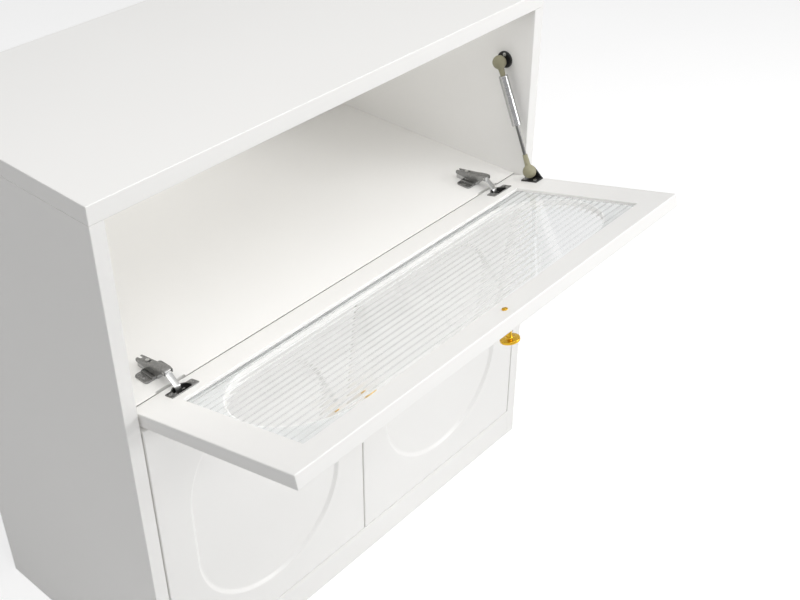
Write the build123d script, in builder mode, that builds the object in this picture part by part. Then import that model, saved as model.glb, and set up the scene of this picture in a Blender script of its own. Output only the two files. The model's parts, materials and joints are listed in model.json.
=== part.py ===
from build123d import *
from dataclasses import dataclass
from math import atan2, cos, degrees, hypot, radians, sin, sqrt
import os

# A cabinet bay: an open compartment closed by a glazed drop-down flap, above a cupboard
# with two inset doors. Millimetres, X to the right, Y from front to back, Z up.
# The origin is on the ground under the middle of the cabinet body.
# The flap is drawn open and the doors are drawn closed.

os.makedirs("parts", exist_ok=True)

# Cabinet body
opening_width = 760.0
cabinet_depth = 400.0
side_thickness = 20.0
top_thickness = 24.0
shelf_board_thickness = 20.0
bottom_board_thickness = 20.0
plinth_height = 55.5
plinth_thickness = 20.0
floor_lip_gap = 0.4
floor_lip_radius = 0.5
flap_sweep_gap = 0.45
lip_notch_gap = 1.5
edge_radius = 1.2
back_thickness = 5.0
back_inset = 3.0
groove_depth = 7.0
rail_height = 70.0
rail_thickness = 20.0
support_width = 20.0
support_front_gap = 20.0

# Leaves
leaf_thickness = 20.0
door_height = 460.0
door_gap = 2.5
door_to_plinth_gap = 1.0
flap_height = 292.5
flap_to_door_gap = 3.8
flap_to_top_gap = 2.7
flap_side_gap = 2.5
floor_to_flap_edge = 20.7
leaf_edge_radius = 1.5

# Fasteners of the boards
cam_radius = 7.5
cam_height = 12.5
cam_inset = 34.0
cam_row_inset = 100.0
bolt_radius = 3.5
bolt_in_cam = 4.0
thread_radius = 2.5
thread_length = 10.0
dowel_radius = 4.0
dowel_in_side = 10.0
dowel_in_board = 20.0
top_dowel_front_inset = 45.0
top_dowel_rear_inset = 180.0
support_dowel_inset = 60.0
support_dowel_reach = 12.0
top_bolt_reach = 12.0
wall_screw_spacing = 600.0
wall_hole_radius = 2.5
back_screw_spacing = 180.0
back_screw_count = 4
back_screw_length = 18.0

# Adjustable shelf on pins
shelf_thickness = 18.0
shelf_side_gap = 1.0
shelf_front_gap = 20.0
shelf_back_gap = 4.0
pin_radius = 2.5
pin_in_side = 9.0
pin_out = 8.0
pin_row_inset = 60.0
pin_pitch = 32.0
pin_hole_count = 5
pin_first_height = 240.0
pin_free_hole_count = 1
pin_hole_depth = 10.0

# Flap hinge line and swing, and the rebate and pill opening of the flap
flap_swing = 75.2
flap_pivot_depth = 6.65
flap_pivot_rise = 9.66
rebate_side_margin = 47.0
rebate_hinge_margin = 43.5
rebate_free_margin = 35.6
rebate_depth = 12.0
rebate_recess = 3.7
seat_ledge = 8.0
seat_end_ledge = 5.5
pill_edge_round = 2.5

# Fluted pane and the tape that it lies on
tape_thickness = 0.5
tape_inset = 1.5
pane_side_gap = 0.8
flute_pitch = 12.0
flute_rise = 0.4
flute_border = 5.0

# Knobs
knob_disc_radius = 13.0
knob_disc_thickness = 4.0
knob_stem_radius = 4.0
knob_stem_length = 20.0
knob_edge_round = 0.8
knob_from_free_edge = 17.5
knob_door_drop = 229.25
knob_from_meeting_edge = 27.05
knob_screw_radius = 2.0
knob_screw_reach = 12.0
knob_screw_head_radius = 4.0
knob_screw_head_height = 1.8
knob_slot_width = 1.0

# Pill-shaped recess on the lower doors
recess_side_margin = 51.0
recess_bottom_margin = 51.0
recess_top_margin = 40.0
recess_depth = 4.5
recess_slope_width = 7.0

# Lower door hinge line and swing
door_swing = 95.0
door_pivot_depth = 6.0
door_pivot_inset = 13.0
door_hinge_inset = 90.0

# Lid strut
strut_side_inset = 14.6
strut_top_depth = 48.5
strut_top_height = 184.5
strut_foot_distance = 44.0
strut_foot_height = 13.5
strut_ball_radius = 4.0
strut_ball_clearance = 0.3
strut_stud_radius = 2.2
socket_radius = 10.5
socket_stud_side = 6.0
socket_mouth_gap = 0.6
neck_in_socket = 1.0
neck_wide_radius = 4.6
neck_narrow_radius = 3.75
top_neck_reach = 20.7
foot_neck_reach = 28.0
tube_radius = 7.0
tube_wall = 0.4
tube_end_wall = 2.0
tube_reach = 96.4
gland_thickness = 2.5
gland_slot_shift = 3.9
gland_clearance = 0.2
rod_radius = 2.6
rod_start = 50.0
rod_in_neck = 14.0
wall_plate_radius = 13.0
wall_plate_thickness = 3.0
wall_plate_screw_offset = 8.5
bracket_length = 29.0
bracket_width = 18.0
bracket_base_start = 32.0
bracket_plate_thickness = 2.0
bracket_ear_rise = 4.5
ear_end_gap = 1.0
bracket_screw_spacing = 18.0
bracket_screw_inset = 4.2
small_head_radius = 2.8
small_head_height = 1.2
small_shank_radius = 1.6
small_screw_length = 12.0
cross_length = 3.64
cross_width = 0.84
cross_depth = 1.44


@dataclass(frozen=True)
class HingeSize:
    """Sizes of one concealed hinge, in its section of depth and height above its board."""

    swing: float  # the leaf's whole turn, in degrees
    arm_angle: float  # direction from the leaf's pivot to the arm pin
    arm_reach: float  # from the leaf's pivot to the arm pin
    cup_reach: float  # from the leaf's pivot to the cup pin
    cup_knee: tuple[float, float]  # bend of the link, from the cup pin
    arm_knee: tuple[float, float]  # bend of the link, from the arm pin
    pin_radius: float
    link_width: float
    link_thickness: float
    eye_radius: float
    slot_side_play: float
    arm_width: float
    arm_wall: float
    nose_flat: float  # level stretch of the arm behind the arm pin
    crank_foot_depth: float  # depth at which the arm's slope ends
    crank_foot_height: float
    arm_end_depth: float
    arm_end_height: float
    cheek_heel_depth: float  # depth at which the cheeks reach the mounting plate
    plate_start: float
    plate_length: float
    plate_span: float
    plate_thickness: float
    block_height: float
    block_start: float
    plate_screw_spacing: float
    fixing_screw_depth: float
    cup_from_edge: float
    cup_radius: float
    cup_wall: float
    cup_depth: float
    cup_base: float
    flange_length: float
    flange_width: float
    flange_thickness: float
    cup_screw_spacing: float


flap_hinge = HingeSize(
    swing=flap_swing,
    arm_angle=58.9,
    arm_reach=34.5,
    cup_reach=8.03,
    cup_knee=(2.23, 7.04),
    arm_knee=(-2.0, -3.7),
    pin_radius=0.75,
    link_width=9.2,
    link_thickness=1.8,
    eye_radius=1.7,
    slot_side_play=0.3,
    arm_width=13.0,
    arm_wall=1.2,
    nose_flat=4.0,
    crank_foot_depth=79.0,
    crank_foot_height=12.7,
    arm_end_depth=80.0,
    arm_end_height=12.5,
    cheek_heel_depth=42.0,
    plate_start=41.8,
    plate_length=24.7,
    plate_span=42.0,
    plate_thickness=2.2,
    block_height=8.0,
    block_start=40.0,
    plate_screw_spacing=31.0,
    fixing_screw_depth=63.0,
    cup_from_edge=21.3,
    cup_radius=12.5,
    cup_wall=0.7,
    cup_depth=11.3,
    cup_base=1.0,
    flange_length=42.8,
    flange_width=16.0,
    flange_thickness=1.0,
    cup_screw_spacing=34.0,
)

door_hinge = HingeSize(
    swing=door_swing,
    arm_angle=54.78,
    arm_reach=32.24,
    cup_reach=8.26,
    cup_knee=(-4.43, 5.32),
    arm_knee=(0.05, -5.6),
    pin_radius=0.65,
    link_width=8.8,
    link_thickness=1.6,
    eye_radius=1.75,
    slot_side_play=0.62,
    arm_width=14.0,
    arm_wall=1.3,
    nose_flat=5.0,
    crank_foot_depth=50.0,
    crank_foot_height=15.0,
    arm_end_depth=90.0,
    arm_end_height=13.0,
    cheek_heel_depth=46.0,
    plate_start=46.0,
    plate_length=38.0,
    plate_span=44.0,
    plate_thickness=2.5,
    block_height=9.0,
    block_start=44.0,
    plate_screw_spacing=32.0,
    fixing_screw_depth=74.0,
    cup_from_edge=22.0,
    cup_radius=16.0,
    cup_wall=1.5,
    cup_depth=12.3,
    cup_base=0.8,
    flange_length=60.0,
    flange_width=17.0,
    flange_thickness=1.0,
    cup_screw_spacing=45.0,
)

flap_hinge_inset = 63.5
arm_nose_gap = 0.4
pin_running_clearance = 0.05
block_side_gap = 0.2
flange_rim = 0.2
pin_in_wall = 0.3  # share of the cup's wall that a pin goes into
wing_rounding = 0.2  # corner radius of the screw wings, as a share of their length
flange_rounding = 0.15  # corner radius of the flanges, as a share of their width
overcut = 1.0  # how far a cutting shape goes past the face that it cuts

# Levels and faces that follow from the sizes
half_width = opening_width / 2
front = -cabinet_depth / 2
rear = cabinet_depth / 2
door_bottom = plinth_height + door_to_plinth_gap
door_top = door_bottom + door_height
flap_bottom = door_top + flap_to_door_gap
floor_top = flap_bottom + floor_to_flap_edge
floor_bottom = floor_top - shelf_board_thickness
top_underside = flap_bottom + flap_height + flap_to_top_gap
leaf_inner = front + leaf_thickness
back_rear = rear - back_inset
back_front = back_rear - back_thickness
bottom_board_bottom = plinth_height - bottom_board_thickness
floor_front = leaf_inner + floor_lip_gap
bottom_board_front = front + plinth_thickness
door_width = (opening_width - 3 * door_gap) / 2
flap_width = opening_width - 2 * flap_side_gap
sides = (("left", -1), ("right", 1))
BASE = (Align.CENTER, Align.CENTER, Align.MIN)
DOWN = (Align.CENTER, Align.CENTER, Align.MAX)


def box_between(low, high, mode=Mode.ADD):
    """Box from its lowest corner to its highest corner."""
    middle = [(a + b) / 2 for a, b in zip(low, high)]
    size = [b - a for a, b in zip(low, high)]
    with Locations(tuple(middle)):
        Box(*size, mode=mode)


def rod_between(start, end, radius, mode=Mode.ADD):
    """Round rod from one point to another."""
    line = Vector(*end) - Vector(*start)
    with Locations(Plane(origin=start, z_dir=line)):
        Cylinder(radius, line.length, align=BASE, mode=mode)


def turned(point, centre, angle):
    """Point (a, b) of a section, turned anticlockwise about a centre."""
    a = point[0] - centre[0]
    b = point[1] - centre[1]
    c = cos(radians(angle))
    s = sin(radians(angle))
    return (centre[0] + a * c - b * s, centre[1] + a * s + b * c)


def draw_screws(places, length):
    """Pan-head screws with a cross recess, seated at each place, pointing along its -Z."""
    with Locations(*places):
        Cylinder(small_shank_radius, length, align=DOWN)
        Cylinder(small_head_radius, small_head_height, align=BASE)
    tops = [place * Location((0, 0, small_head_height)) for place in places]
    with Locations(*tops):
        Box(cross_length, cross_width, cross_depth, align=DOWN, mode=Mode.SUBTRACT)
        Box(cross_width, cross_length, cross_depth, align=DOWN, mode=Mode.SUBTRACT)


# Where the boards are fastened: rows of cam fittings and dowels along the depth
cam_rows = (front + cam_row_inset, rear - cam_row_inset)
dowel_row = 0.0
jointed_boards = (
    (bottom_board_bottom, plinth_height),
    (floor_bottom, floor_top),
)
rail_bottom = top_underside - rail_height
rail_middle = rail_bottom + rail_height / 2
rail_row = back_front - rail_thickness / 2
plinth_dowel_height = bottom_board_bottom / 2
top_dowel_rows = (front + top_dowel_front_inset, rear - top_dowel_rear_inset)
support_front = bottom_board_front + support_front_gap
support_dowel_rows = (support_front + support_dowel_inset, back_front - support_dowel_inset)
pin_heights = [pin_first_height + pin_pitch * i for i in range(pin_hole_count)]
pin_rows = (front + leaf_thickness + pin_row_inset, rear - pin_row_inset)
used_pin_height = pin_heights[pin_free_hole_count]


def side_dowels(sign):
    """Start and end of each dowel between one side panel and the boards, rail and plinth."""
    outer = sign * (half_width + dowel_in_side)
    inner = sign * (half_width - dowel_in_board)
    spots = [(dowel_row, (low + high) / 2) for low, high in jointed_boards]
    spots.append((rail_row, rail_middle))
    spots.append((front + plinth_thickness / 2, plinth_dowel_height))
    return [((outer, y, z), (inner, y, z)) for y, z in spots]


def top_dowels(sign):
    """Start and end of each upright dowel between one side panel and the top board."""
    x = sign * (half_width + side_thickness / 2)
    low = top_underside - dowel_in_board
    high = top_underside + dowel_in_side
    return [((x, y, low), (x, y, high)) for y in top_dowel_rows]


def support_dowels():
    """Start and end of each upright dowel between the middle support and the bottom board."""
    low = bottom_board_bottom - support_dowel_reach
    high = bottom_board_bottom + support_dowel_reach
    return [((0, y, low), (0, y, high)) for y in support_dowel_rows]


def cam_bolt_lines(sign):
    """Thread end, board face and cam end of each lying cam bolt on one side."""
    thread_end = sign * (half_width + thread_length)
    face = sign * half_width
    cam_end = sign * (half_width - cam_inset + cam_radius - bolt_in_cam)
    lines = []
    for low, high in jointed_boards:
        z = (low + high) / 2
        for y in cam_rows:
            lines.append(((thread_end, y, z), (face, y, z), (cam_end, y, z)))
    return lines


def top_bolt_lines(sign):
    """Thread end, board face and cam end of each upright cam bolt of one side panel."""
    x = sign * (half_width + side_thickness / 2)
    cam_end = top_underside - cam_inset + cam_radius - bolt_in_cam
    return [
        ((x, y, top_underside + top_bolt_reach), (x, y, top_underside), (x, y, cam_end))
        for y in cam_rows
    ]


def cut_bolts(lines):
    """Holes for the threads and the shanks of cam bolts."""
    for thread_end, face, cam_end in lines:
        rod_between(face, thread_end, thread_radius, Mode.SUBTRACT)
        rod_between(face, cam_end, bolt_radius, Mode.SUBTRACT)


def board_cam_places(sign):
    """Mouth of each cam bore on the undersides of the boards, pointing up into the board."""
    x = sign * (half_width - cam_inset)
    return [
        Plane(origin=(x, y, low), z_dir=(0, 0, 1))
        for low, high in jointed_boards
        for y in cam_rows
    ]


def side_cam_places(sign):
    """Mouth of each cam bore on the inner face of a side panel, pointing into the panel."""
    return [
        Plane(origin=(sign * half_width, y, top_underside - cam_inset), z_dir=(sign, 0, 0))
        for y in cam_rows
    ]


# Flap section: depth behind the front plane, and height above the compartment floor
flap_pivot = (flap_pivot_depth, flap_pivot_rise - floor_to_flap_edge)
flap_corner = turned((leaf_thickness, -floor_to_flap_edge), flap_pivot, flap_swing)
flap_swung = radians(flap_swing)
flap_outward = (0, -cos(flap_swung), -sin(flap_swung))
flap_origin = (0, front + flap_corner[0], floor_top + flap_corner[1])
# Flap plane: X as the cabinet's, Y from the hinge edge to the free edge, Z outwards,
# with the inner face at Z = 0
flap_plane = Plane(origin=flap_origin, x_dir=(1, 0, 0), z_dir=flap_outward)
flap_section = Plane(origin=flap_origin, x_dir=flap_plane.y_dir, z_dir=(1, 0, 0))
flap_knob_spot = (0, flap_height - knob_from_free_edge)
flap_hinge_x = [sign * (half_width - flap_side_gap - flap_hinge_inset) for _, sign in sides]
flap_cup_centres = [(x, flap_hinge.cup_from_edge) for x in flap_hinge_x]

# Lid strut: ball centres, and a plane along the strut from the upper ball
strut_x = half_width - strut_side_inset
upper_ball = Vector(strut_x, front + strut_top_depth, floor_top + strut_top_height)
foot_spot = (strut_x, strut_foot_distance, -strut_foot_height)
lower_ball = flap_plane.from_local_coords(Vector(*foot_spot))
strut_length = (lower_ball - upper_ball).length
strut_plane = Plane(origin=upper_ball, x_dir=(1, 0, 0), z_dir=lower_ball - upper_ball)

# Door planes: Z from the closed door's inner face to its front
door_centres = {"left": -(door_gap + door_width) / 2, "right": (door_gap + door_width) / 2}
door_hinge_heights = (door_bottom + door_hinge_inset, door_top - door_hinge_inset)
knob_height = door_top - knob_door_drop


def hinge_pins(size, pivot):
    """Arm pin, and cup pin with the leaf closed, for a leaf's pivot in the hinge's section."""
    arm_turn = radians(size.arm_angle)
    cup_turn = radians(size.arm_angle - size.swing / 2)
    arm_pin = (
        pivot[0] + size.arm_reach * cos(arm_turn),
        pivot[1] + size.arm_reach * sin(arm_turn),
    )
    cup_closed = (
        pivot[0] + size.cup_reach * cos(cup_turn),
        pivot[1] + size.cup_reach * sin(cup_turn),
    )
    return arm_pin, cup_closed


def draw_arm(plane, size, arm_pin):
    """Channel-shaped arm, its open side towards the board that it is screwed to."""
    nose = arm_pin[0] - size.eye_radius - arm_nose_gap - size.arm_wall / 2
    nose_top = arm_pin[1] + size.eye_radius + arm_nose_gap + size.arm_wall
    nose_bottom = arm_pin[1] - size.eye_radius - arm_nose_gap - size.arm_wall
    roof_outer = (
        (nose, nose_top),
        (arm_pin[0] + size.nose_flat, nose_top),
        (size.crank_foot_depth, size.crank_foot_height),
        (size.arm_end_depth, size.arm_end_height),
    )
    underside = (
        (size.arm_end_depth, size.plate_thickness),
        (size.cheek_heel_depth, size.plate_thickness),
        (arm_pin[0] + size.nose_flat, nose_bottom),
        (nose, nose_bottom),
    )
    with BuildSketch(plane) as channel:
        Polygon(*roof_outer, *underside, align=None)
    extrude(channel.sketch, amount=size.arm_width / 2, both=True)
    hollow = [(a, b - size.arm_wall) for a, b in roof_outer]
    hollow[0] = (nose - overcut, hollow[0][1])
    hollow[-1] = (size.arm_end_depth + overcut, hollow[-1][1])
    below = [(size.arm_end_depth + overcut, -overcut), (nose - overcut, -overcut)]
    with BuildSketch(plane) as inside:
        Polygon(*hollow, *below, align=None)
    half_inside = size.arm_width / 2 - size.arm_wall
    extrude(inside.sketch, amount=half_inside, both=True, mode=Mode.SUBTRACT)
    with BuildSketch(plane) as pin_hole:
        with Locations(arm_pin):
            Circle(size.pin_radius)
    extrude(pin_hole.sketch, amount=size.arm_width, both=True, mode=Mode.SUBTRACT)


def draw_mounting_plate(plane, size):
    """Plate with two screw wings and a raised block that the arm straddles."""
    middle = size.plate_start + size.plate_length / 2
    origin = plane.from_local_coords((middle, 0, 0))
    flat = Plane(origin=origin, x_dir=plane.z_dir, z_dir=plane.y_dir)
    with BuildSketch(flat) as wings:
        RectangleRounded(size.plate_span, size.plate_length, wing_rounding * size.plate_length)
    extrude(wings.sketch, amount=size.plate_thickness)
    block_half = size.arm_width / 2 - size.arm_wall - block_side_gap
    with BuildSketch(plane) as block:
        Polygon(
            (size.block_start, 0),
            (size.arm_end_depth, 0),
            (size.arm_end_depth, size.block_height),
            (size.block_start, size.block_height),
            align=None,
        )
    extrude(block.sketch, amount=block_half, both=True)
    with Locations(*plate_screw_places(plane, size)):
        Cylinder(small_shank_radius, 2 * size.plate_thickness, mode=Mode.SUBTRACT)


def plate_screw_places(plane, size):
    """Seats of the two wing screws, with Z out of the board."""
    middle = size.plate_start + size.plate_length / 2
    places = []
    for _, sign in sides:
        spot = (middle, size.plate_thickness, sign * size.plate_screw_spacing / 2)
        seat = Plane(origin=plane.from_local_coords(spot), x_dir=plane.z_dir, z_dir=plane.y_dir)
        places.append(seat.location)
    return places


def arm_screw_place(plane, size, arm_pin):
    """Seat of the fixing screw on the arm's sloping roof, with Z out of the roof."""
    roof_height = arm_pin[1] + size.eye_radius + arm_nose_gap + size.arm_wall
    start = (arm_pin[0] + size.nose_flat, roof_height)
    end = (size.crank_foot_depth, size.crank_foot_height)
    if size.fixing_screw_depth > size.crank_foot_depth:
        start, end = end, (size.arm_end_depth, size.arm_end_height)
    share = (size.fixing_screw_depth - start[0]) / (end[0] - start[0])
    height = start[1] + share * (end[1] - start[1])
    run = plane.from_local_coords((*end, 0)) - plane.from_local_coords((*start, 0))
    seat = plane.from_local_coords((size.fixing_screw_depth, height, 0))
    return Plane(origin=seat, x_dir=run, z_dir=plane.z_dir.cross(run)).location


def draw_link(plane, size, pivot, open_drawn):
    """Bent link with a round eye on the arm pin and a slotted eye on the cup pin."""
    arm_pin, cup_closed = hinge_pins(size, pivot)
    cup_pin = turned(cup_closed, pivot, size.swing) if open_drawn else cup_closed
    cup_knee = (cup_pin[0] + size.cup_knee[0], cup_pin[1] + size.cup_knee[1])
    arm_knee = (arm_pin[0] + size.arm_knee[0], arm_pin[1] + size.arm_knee[1])
    span = hypot(cup_pin[0] - arm_pin[0], cup_pin[1] - arm_pin[1])
    slot_length = span + size.cup_reach - size.arm_reach
    toward_arm = ((arm_pin[0] - cup_pin[0]) / span, (arm_pin[1] - cup_pin[1]) / span)
    slot_end = (cup_pin[0] + slot_length * toward_arm[0], cup_pin[1] + slot_length * toward_arm[1])
    slot_turn = degrees(atan2(toward_arm[1], toward_arm[0]))
    slot_middle = ((cup_pin[0] + slot_end[0]) / 2, (cup_pin[1] + slot_end[1]) / 2)
    slot_radius = size.pin_radius + size.slot_side_play
    with BuildSketch(plane) as link:
        with Locations(arm_pin):
            Circle(size.eye_radius)
        with Locations(slot_middle):
            SlotCenterToCenter(slot_length, 2 * size.eye_radius, rotation=slot_turn)
        for start, end in ((cup_pin, cup_knee), (cup_knee, arm_knee), (arm_knee, arm_pin)):
            middle = ((start[0] + end[0]) / 2, (start[1] + end[1]) / 2)
            run = hypot(end[0] - start[0], end[1] - start[1])
            turn = degrees(atan2(end[1] - start[1], end[0] - start[0]))
            with Locations(middle):
                SlotCenterToCenter(run, size.link_thickness, rotation=turn)
        with Locations(arm_pin):
            Circle(size.pin_radius + pin_running_clearance, mode=Mode.SUBTRACT)
        with Locations(slot_middle):
            SlotCenterToCenter(slot_length, 2 * slot_radius, rotation=slot_turn, mode=Mode.SUBTRACT)
    extrude(link.sketch, amount=size.link_width / 2, both=True)


def draw_cups(plane, size, centres, along_x, pin_spots):
    """Cups with flanges in a leaf. Plane Z points into the leaf from its inner face."""
    turn = 0 if along_x else 90
    rim = size.cup_radius + size.cup_wall + flange_rim
    rounding = flange_rounding * size.flange_width
    with BuildSketch(plane.offset(-size.flange_thickness)) as flange:
        with Locations(*centres):
            RectangleRounded(size.flange_length, size.flange_width, rounding, rotation=turn)
            Circle(rim)
    extrude(flange.sketch, amount=size.flange_thickness)
    with BuildSketch(plane) as pot:
        with Locations(*centres):
            Circle(size.cup_radius + size.cup_wall)
    extrude(pot.sketch, amount=size.cup_depth + size.cup_base)
    with BuildSketch(plane.offset(-size.flange_thickness)) as cavity:
        with Locations(*centres):
            Circle(size.cup_radius)
    extrude(cavity.sketch, amount=size.flange_thickness + size.cup_depth, mode=Mode.SUBTRACT)
    for start, end in pin_spots:
        rod_between(start, end, size.pin_radius, Mode.SUBTRACT)
    with Locations(*cup_screw_places(plane, size, centres, along_x)):
        Cylinder(small_shank_radius, 3 * size.flange_thickness, mode=Mode.SUBTRACT)


def cup_screw_places(plane, size, centres, along_x):
    """Seats of the flange screws, with Z out of the leaf."""
    reach = size.cup_screw_spacing / 2
    step = (reach, 0) if along_x else (0, reach)
    places = []
    for x, y in centres:
        for _, sign in sides:
            spot = (x + sign * step[0], y + sign * step[1], -size.flange_thickness)
            places.append(Plane(origin=plane.from_local_coords(spot), z_dir=-plane.z_dir).location)
    return places


def cup_pin_ends(section, size, cup_pin, cup_centre):
    """Ends of a cup pin, a little way into the cup's wall on both sides."""
    off_centre = abs(cup_pin_offset(section, size, cup_pin, cup_centre))
    half_chord = sqrt(size.cup_radius**2 - off_centre**2) + pin_in_wall * size.cup_wall
    return tuple(section.from_local_coords((*cup_pin, sign * half_chord)) for _, sign in sides)


def cup_pin_offset(section, size, cup_pin, cup_centre):
    """Distance of a cup pin from its cup's middle, along the leaf and across the pin."""
    pin = section.from_local_coords((*cup_pin, 0))
    return (pin - cup_centre).dot(leaf_direction(section))


def leaf_direction(section):
    """Direction along the leaf in a hinge's section, from the hinge edge to the free edge."""
    return flap_plane.y_dir if section.z_dir.X > 0.5 else section.y_dir


def flap_hinge_plane(x):
    """Section plane of a flap hinge: depth behind the front, height above the floor."""
    return Plane(origin=(x, front, floor_top), x_dir=(0, 1, 0), z_dir=(1, 0, 0))


def door_hinge_plane(sign, z):
    """Section plane of a door hinge: depth behind the front, distance from the side panel."""
    return Plane(origin=(sign * half_width, front, z), x_dir=(0, 1, 0), z_dir=(0, 0, sign))


def door_plane(side):
    """Plane on a closed door's inner face, with X to the right and Z to the front."""
    return Plane(
        origin=(door_centres[side], leaf_inner, door_bottom), x_dir=(1, 0, 0), z_dir=(0, -1, 0)
    )


flap_hinge_planes = [flap_hinge_plane(x) for x in flap_hinge_x]
flap_arm_pin, flap_cup_closed = hinge_pins(flap_hinge, flap_pivot)
flap_cup_open = turned(flap_cup_closed, flap_pivot, flap_swing)
flap_cup_pins = []
for hinge_plane, (x, y) in zip(flap_hinge_planes, flap_cup_centres):
    centre = flap_plane.from_local_coords((x, y, 0))
    flap_cup_pins.append(cup_pin_ends(hinge_plane, flap_hinge, flap_cup_open, centre))

door_pivot = (door_pivot_depth, door_pivot_inset)
door_arm_pin, door_cup_closed = hinge_pins(door_hinge, door_pivot)
door_hinge_planes = {
    side: [door_hinge_plane(sign, z) for z in door_hinge_heights] for side, sign in sides
}
cup_from_door_centre = door_width / 2 - door_hinge.cup_from_edge
door_cup_centres = {
    side: [(sign * cup_from_door_centre, z - door_bottom) for z in door_hinge_heights]
    for side, sign in sides
}
door_cup_pins = {}
for side, sign in sides:
    door_cup_pins[side] = []
    for hinge_plane, (x, y) in zip(door_hinge_planes[side], door_cup_centres[side]):
        centre = Vector(door_centres[side] + x, leaf_inner, door_bottom + y)
        door_cup_pins[side].append(cup_pin_ends(hinge_plane, door_hinge, door_cup_closed, centre))

all_door_hinge_planes = door_hinge_planes["left"] + door_hinge_planes["right"]
flap_plate_screws = [
    spot for plane in flap_hinge_planes for spot in plate_screw_places(plane, flap_hinge)
]
door_plate_screws = [
    spot for plane in all_door_hinge_planes for spot in plate_screw_places(plane, door_hinge)
]
flap_arm_screws = [arm_screw_place(plane, flap_hinge, flap_arm_pin) for plane in flap_hinge_planes]
door_arm_screws = [
    arm_screw_place(plane, door_hinge, door_arm_pin) for plane in all_door_hinge_planes
]
wall_plate_screws = [
    Plane(
        origin=(
            half_width - wall_plate_thickness,
            upper_ball.Y,
            upper_ball.Z + sign * wall_plate_screw_offset,
        ),
        z_dir=(-1, 0, 0),
    ).location
    for _, sign in sides
]
wall_spots = [(sign * wall_screw_spacing / 2, rail_middle) for _, sign in sides]
back_screw_x = [
    back_screw_spacing * (i - (back_screw_count - 1) / 2) for i in range(back_screw_count)
]
back_screw_z = ((bottom_board_bottom + plinth_height) / 2, (floor_bottom + floor_top) / 2)
back_screw_places = [
    Plane(origin=(x, back_rear, z), z_dir=(0, 1, 0)).location
    for x in back_screw_x
    for z in back_screw_z
]


def cut_shanks(places, length):
    """Pilot holes for small screws, one at each seat."""
    with Locations(*places):
        Cylinder(small_shank_radius, length, align=DOWN, mode=Mode.SUBTRACT)


# Cabinet body
for side, sign in sides:
    with BuildPart() as side_panel:
        inner = sign * half_width
        outer = sign * (half_width + side_thickness)
        box_between((min(inner, outer), front, 0), (max(inner, outer), rear, top_underside))
        fillet(side_panel.edges().filter_by(Axis.Z).group_by(Axis.Y)[0], edge_radius)
        groove_x = sorted((inner - sign * overcut, inner + sign * groove_depth))
        box_between(
            (groove_x[0], back_front, 0), (groove_x[1], back_rear, top_underside), Mode.SUBTRACT
        )
        for start, end in side_dowels(sign) + top_dowels(sign):
            rod_between(start, end, dowel_radius, Mode.SUBTRACT)
        cut_bolts(cam_bolt_lines(sign) + top_bolt_lines(sign))
        with Locations(*side_cam_places(sign)):
            Cylinder(cam_radius, cam_height, align=BASE, mode=Mode.SUBTRACT)
        for y in pin_rows:
            for z in pin_heights:
                hole_end = (inner + sign * pin_hole_depth, y, z)
                rod_between((inner, y, z), hole_end, pin_radius, Mode.SUBTRACT)
        for hinge_plane in door_hinge_planes[side]:
            cut_shanks(plate_screw_places(hinge_plane, door_hinge), small_screw_length)
        if side == "right":
            cut_shanks(wall_plate_screws, small_screw_length)
    side_panel.part.label = f"{side}_side_panel"
    export_step(side_panel.part, f"parts/{side}_side_panel.step")

with BuildPart() as top_board:
    half_outer = half_width + side_thickness
    box_between(
        (-half_outer, front, top_underside), (half_outer, rear, top_underside + top_thickness)
    )
    fillet(top_board.edges(), edge_radius)
    box_between(
        (-half_width - groove_depth, back_front, top_underside - overcut),
        (half_width + groove_depth, back_rear, top_underside + groove_depth),
        Mode.SUBTRACT,
    )
    for side, sign in sides:
        for start, end in top_dowels(sign):
            rod_between(start, end, dowel_radius, Mode.SUBTRACT)
        cut_bolts(top_bolt_lines(sign))
top_board.part.label = "top_board"
export_step(top_board.part, "parts/top_board.step")

with BuildPart() as compartment_floor:
    box_between((-half_width, floor_front, floor_bottom), (half_width, back_front, floor_top))
    # The front edge is hollow round the flap's pivot, so that the flap's edge turns past it
    # under a thin lip, which is notched for the hinge flanges
    sweep_start = (-half_width, front + flap_pivot[0], floor_top + flap_pivot[1])
    sweep_end = (half_width, *sweep_start[1:])
    corner_reach = hypot(flap_corner[0] - flap_pivot[0], flap_corner[1] - flap_pivot[1])
    hollow_radius = corner_reach + flap_sweep_gap
    hollow_back = sweep_start[1] + hollow_radius
    rod_between(sweep_start, sweep_end, hollow_radius, Mode.SUBTRACT)
    box_between(
        (-half_width, floor_front - overcut, floor_bottom - overcut),
        (half_width, hollow_back, sweep_start[2]),
        Mode.SUBTRACT,
    )
    long_edges = compartment_floor.edges().filter_by(Axis.X).group_by(Axis.Z)
    fillet(long_edges[-1].sort_by(Axis.Y)[0], floor_lip_radius)
    long_edges = compartment_floor.edges().filter_by(Axis.X).group_by(Axis.Z)
    fillet(long_edges[0].sort_by(Axis.Y)[0], edge_radius)
    notch_half = flap_hinge.flange_length / 2 + lip_notch_gap
    for x in flap_hinge_x:
        box_between(
            (x - notch_half, floor_front - overcut, sweep_start[2]),
            (x + notch_half, hollow_back, floor_top + overcut),
            Mode.SUBTRACT,
        )
    for side, sign in sides:
        for start, end in side_dowels(sign):
            rod_between(start, end, dowel_radius, Mode.SUBTRACT)
        cut_bolts(cam_bolt_lines(sign))
        with Locations(*board_cam_places(sign)):
            Cylinder(cam_radius, cam_height, align=BASE, mode=Mode.SUBTRACT)
    cut_shanks(flap_plate_screws, small_screw_length)
    cut_shanks(back_screw_places, back_screw_length)
compartment_floor.part.label = "compartment_floor"
export_step(compartment_floor.part, "parts/compartment_floor.step")

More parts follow.
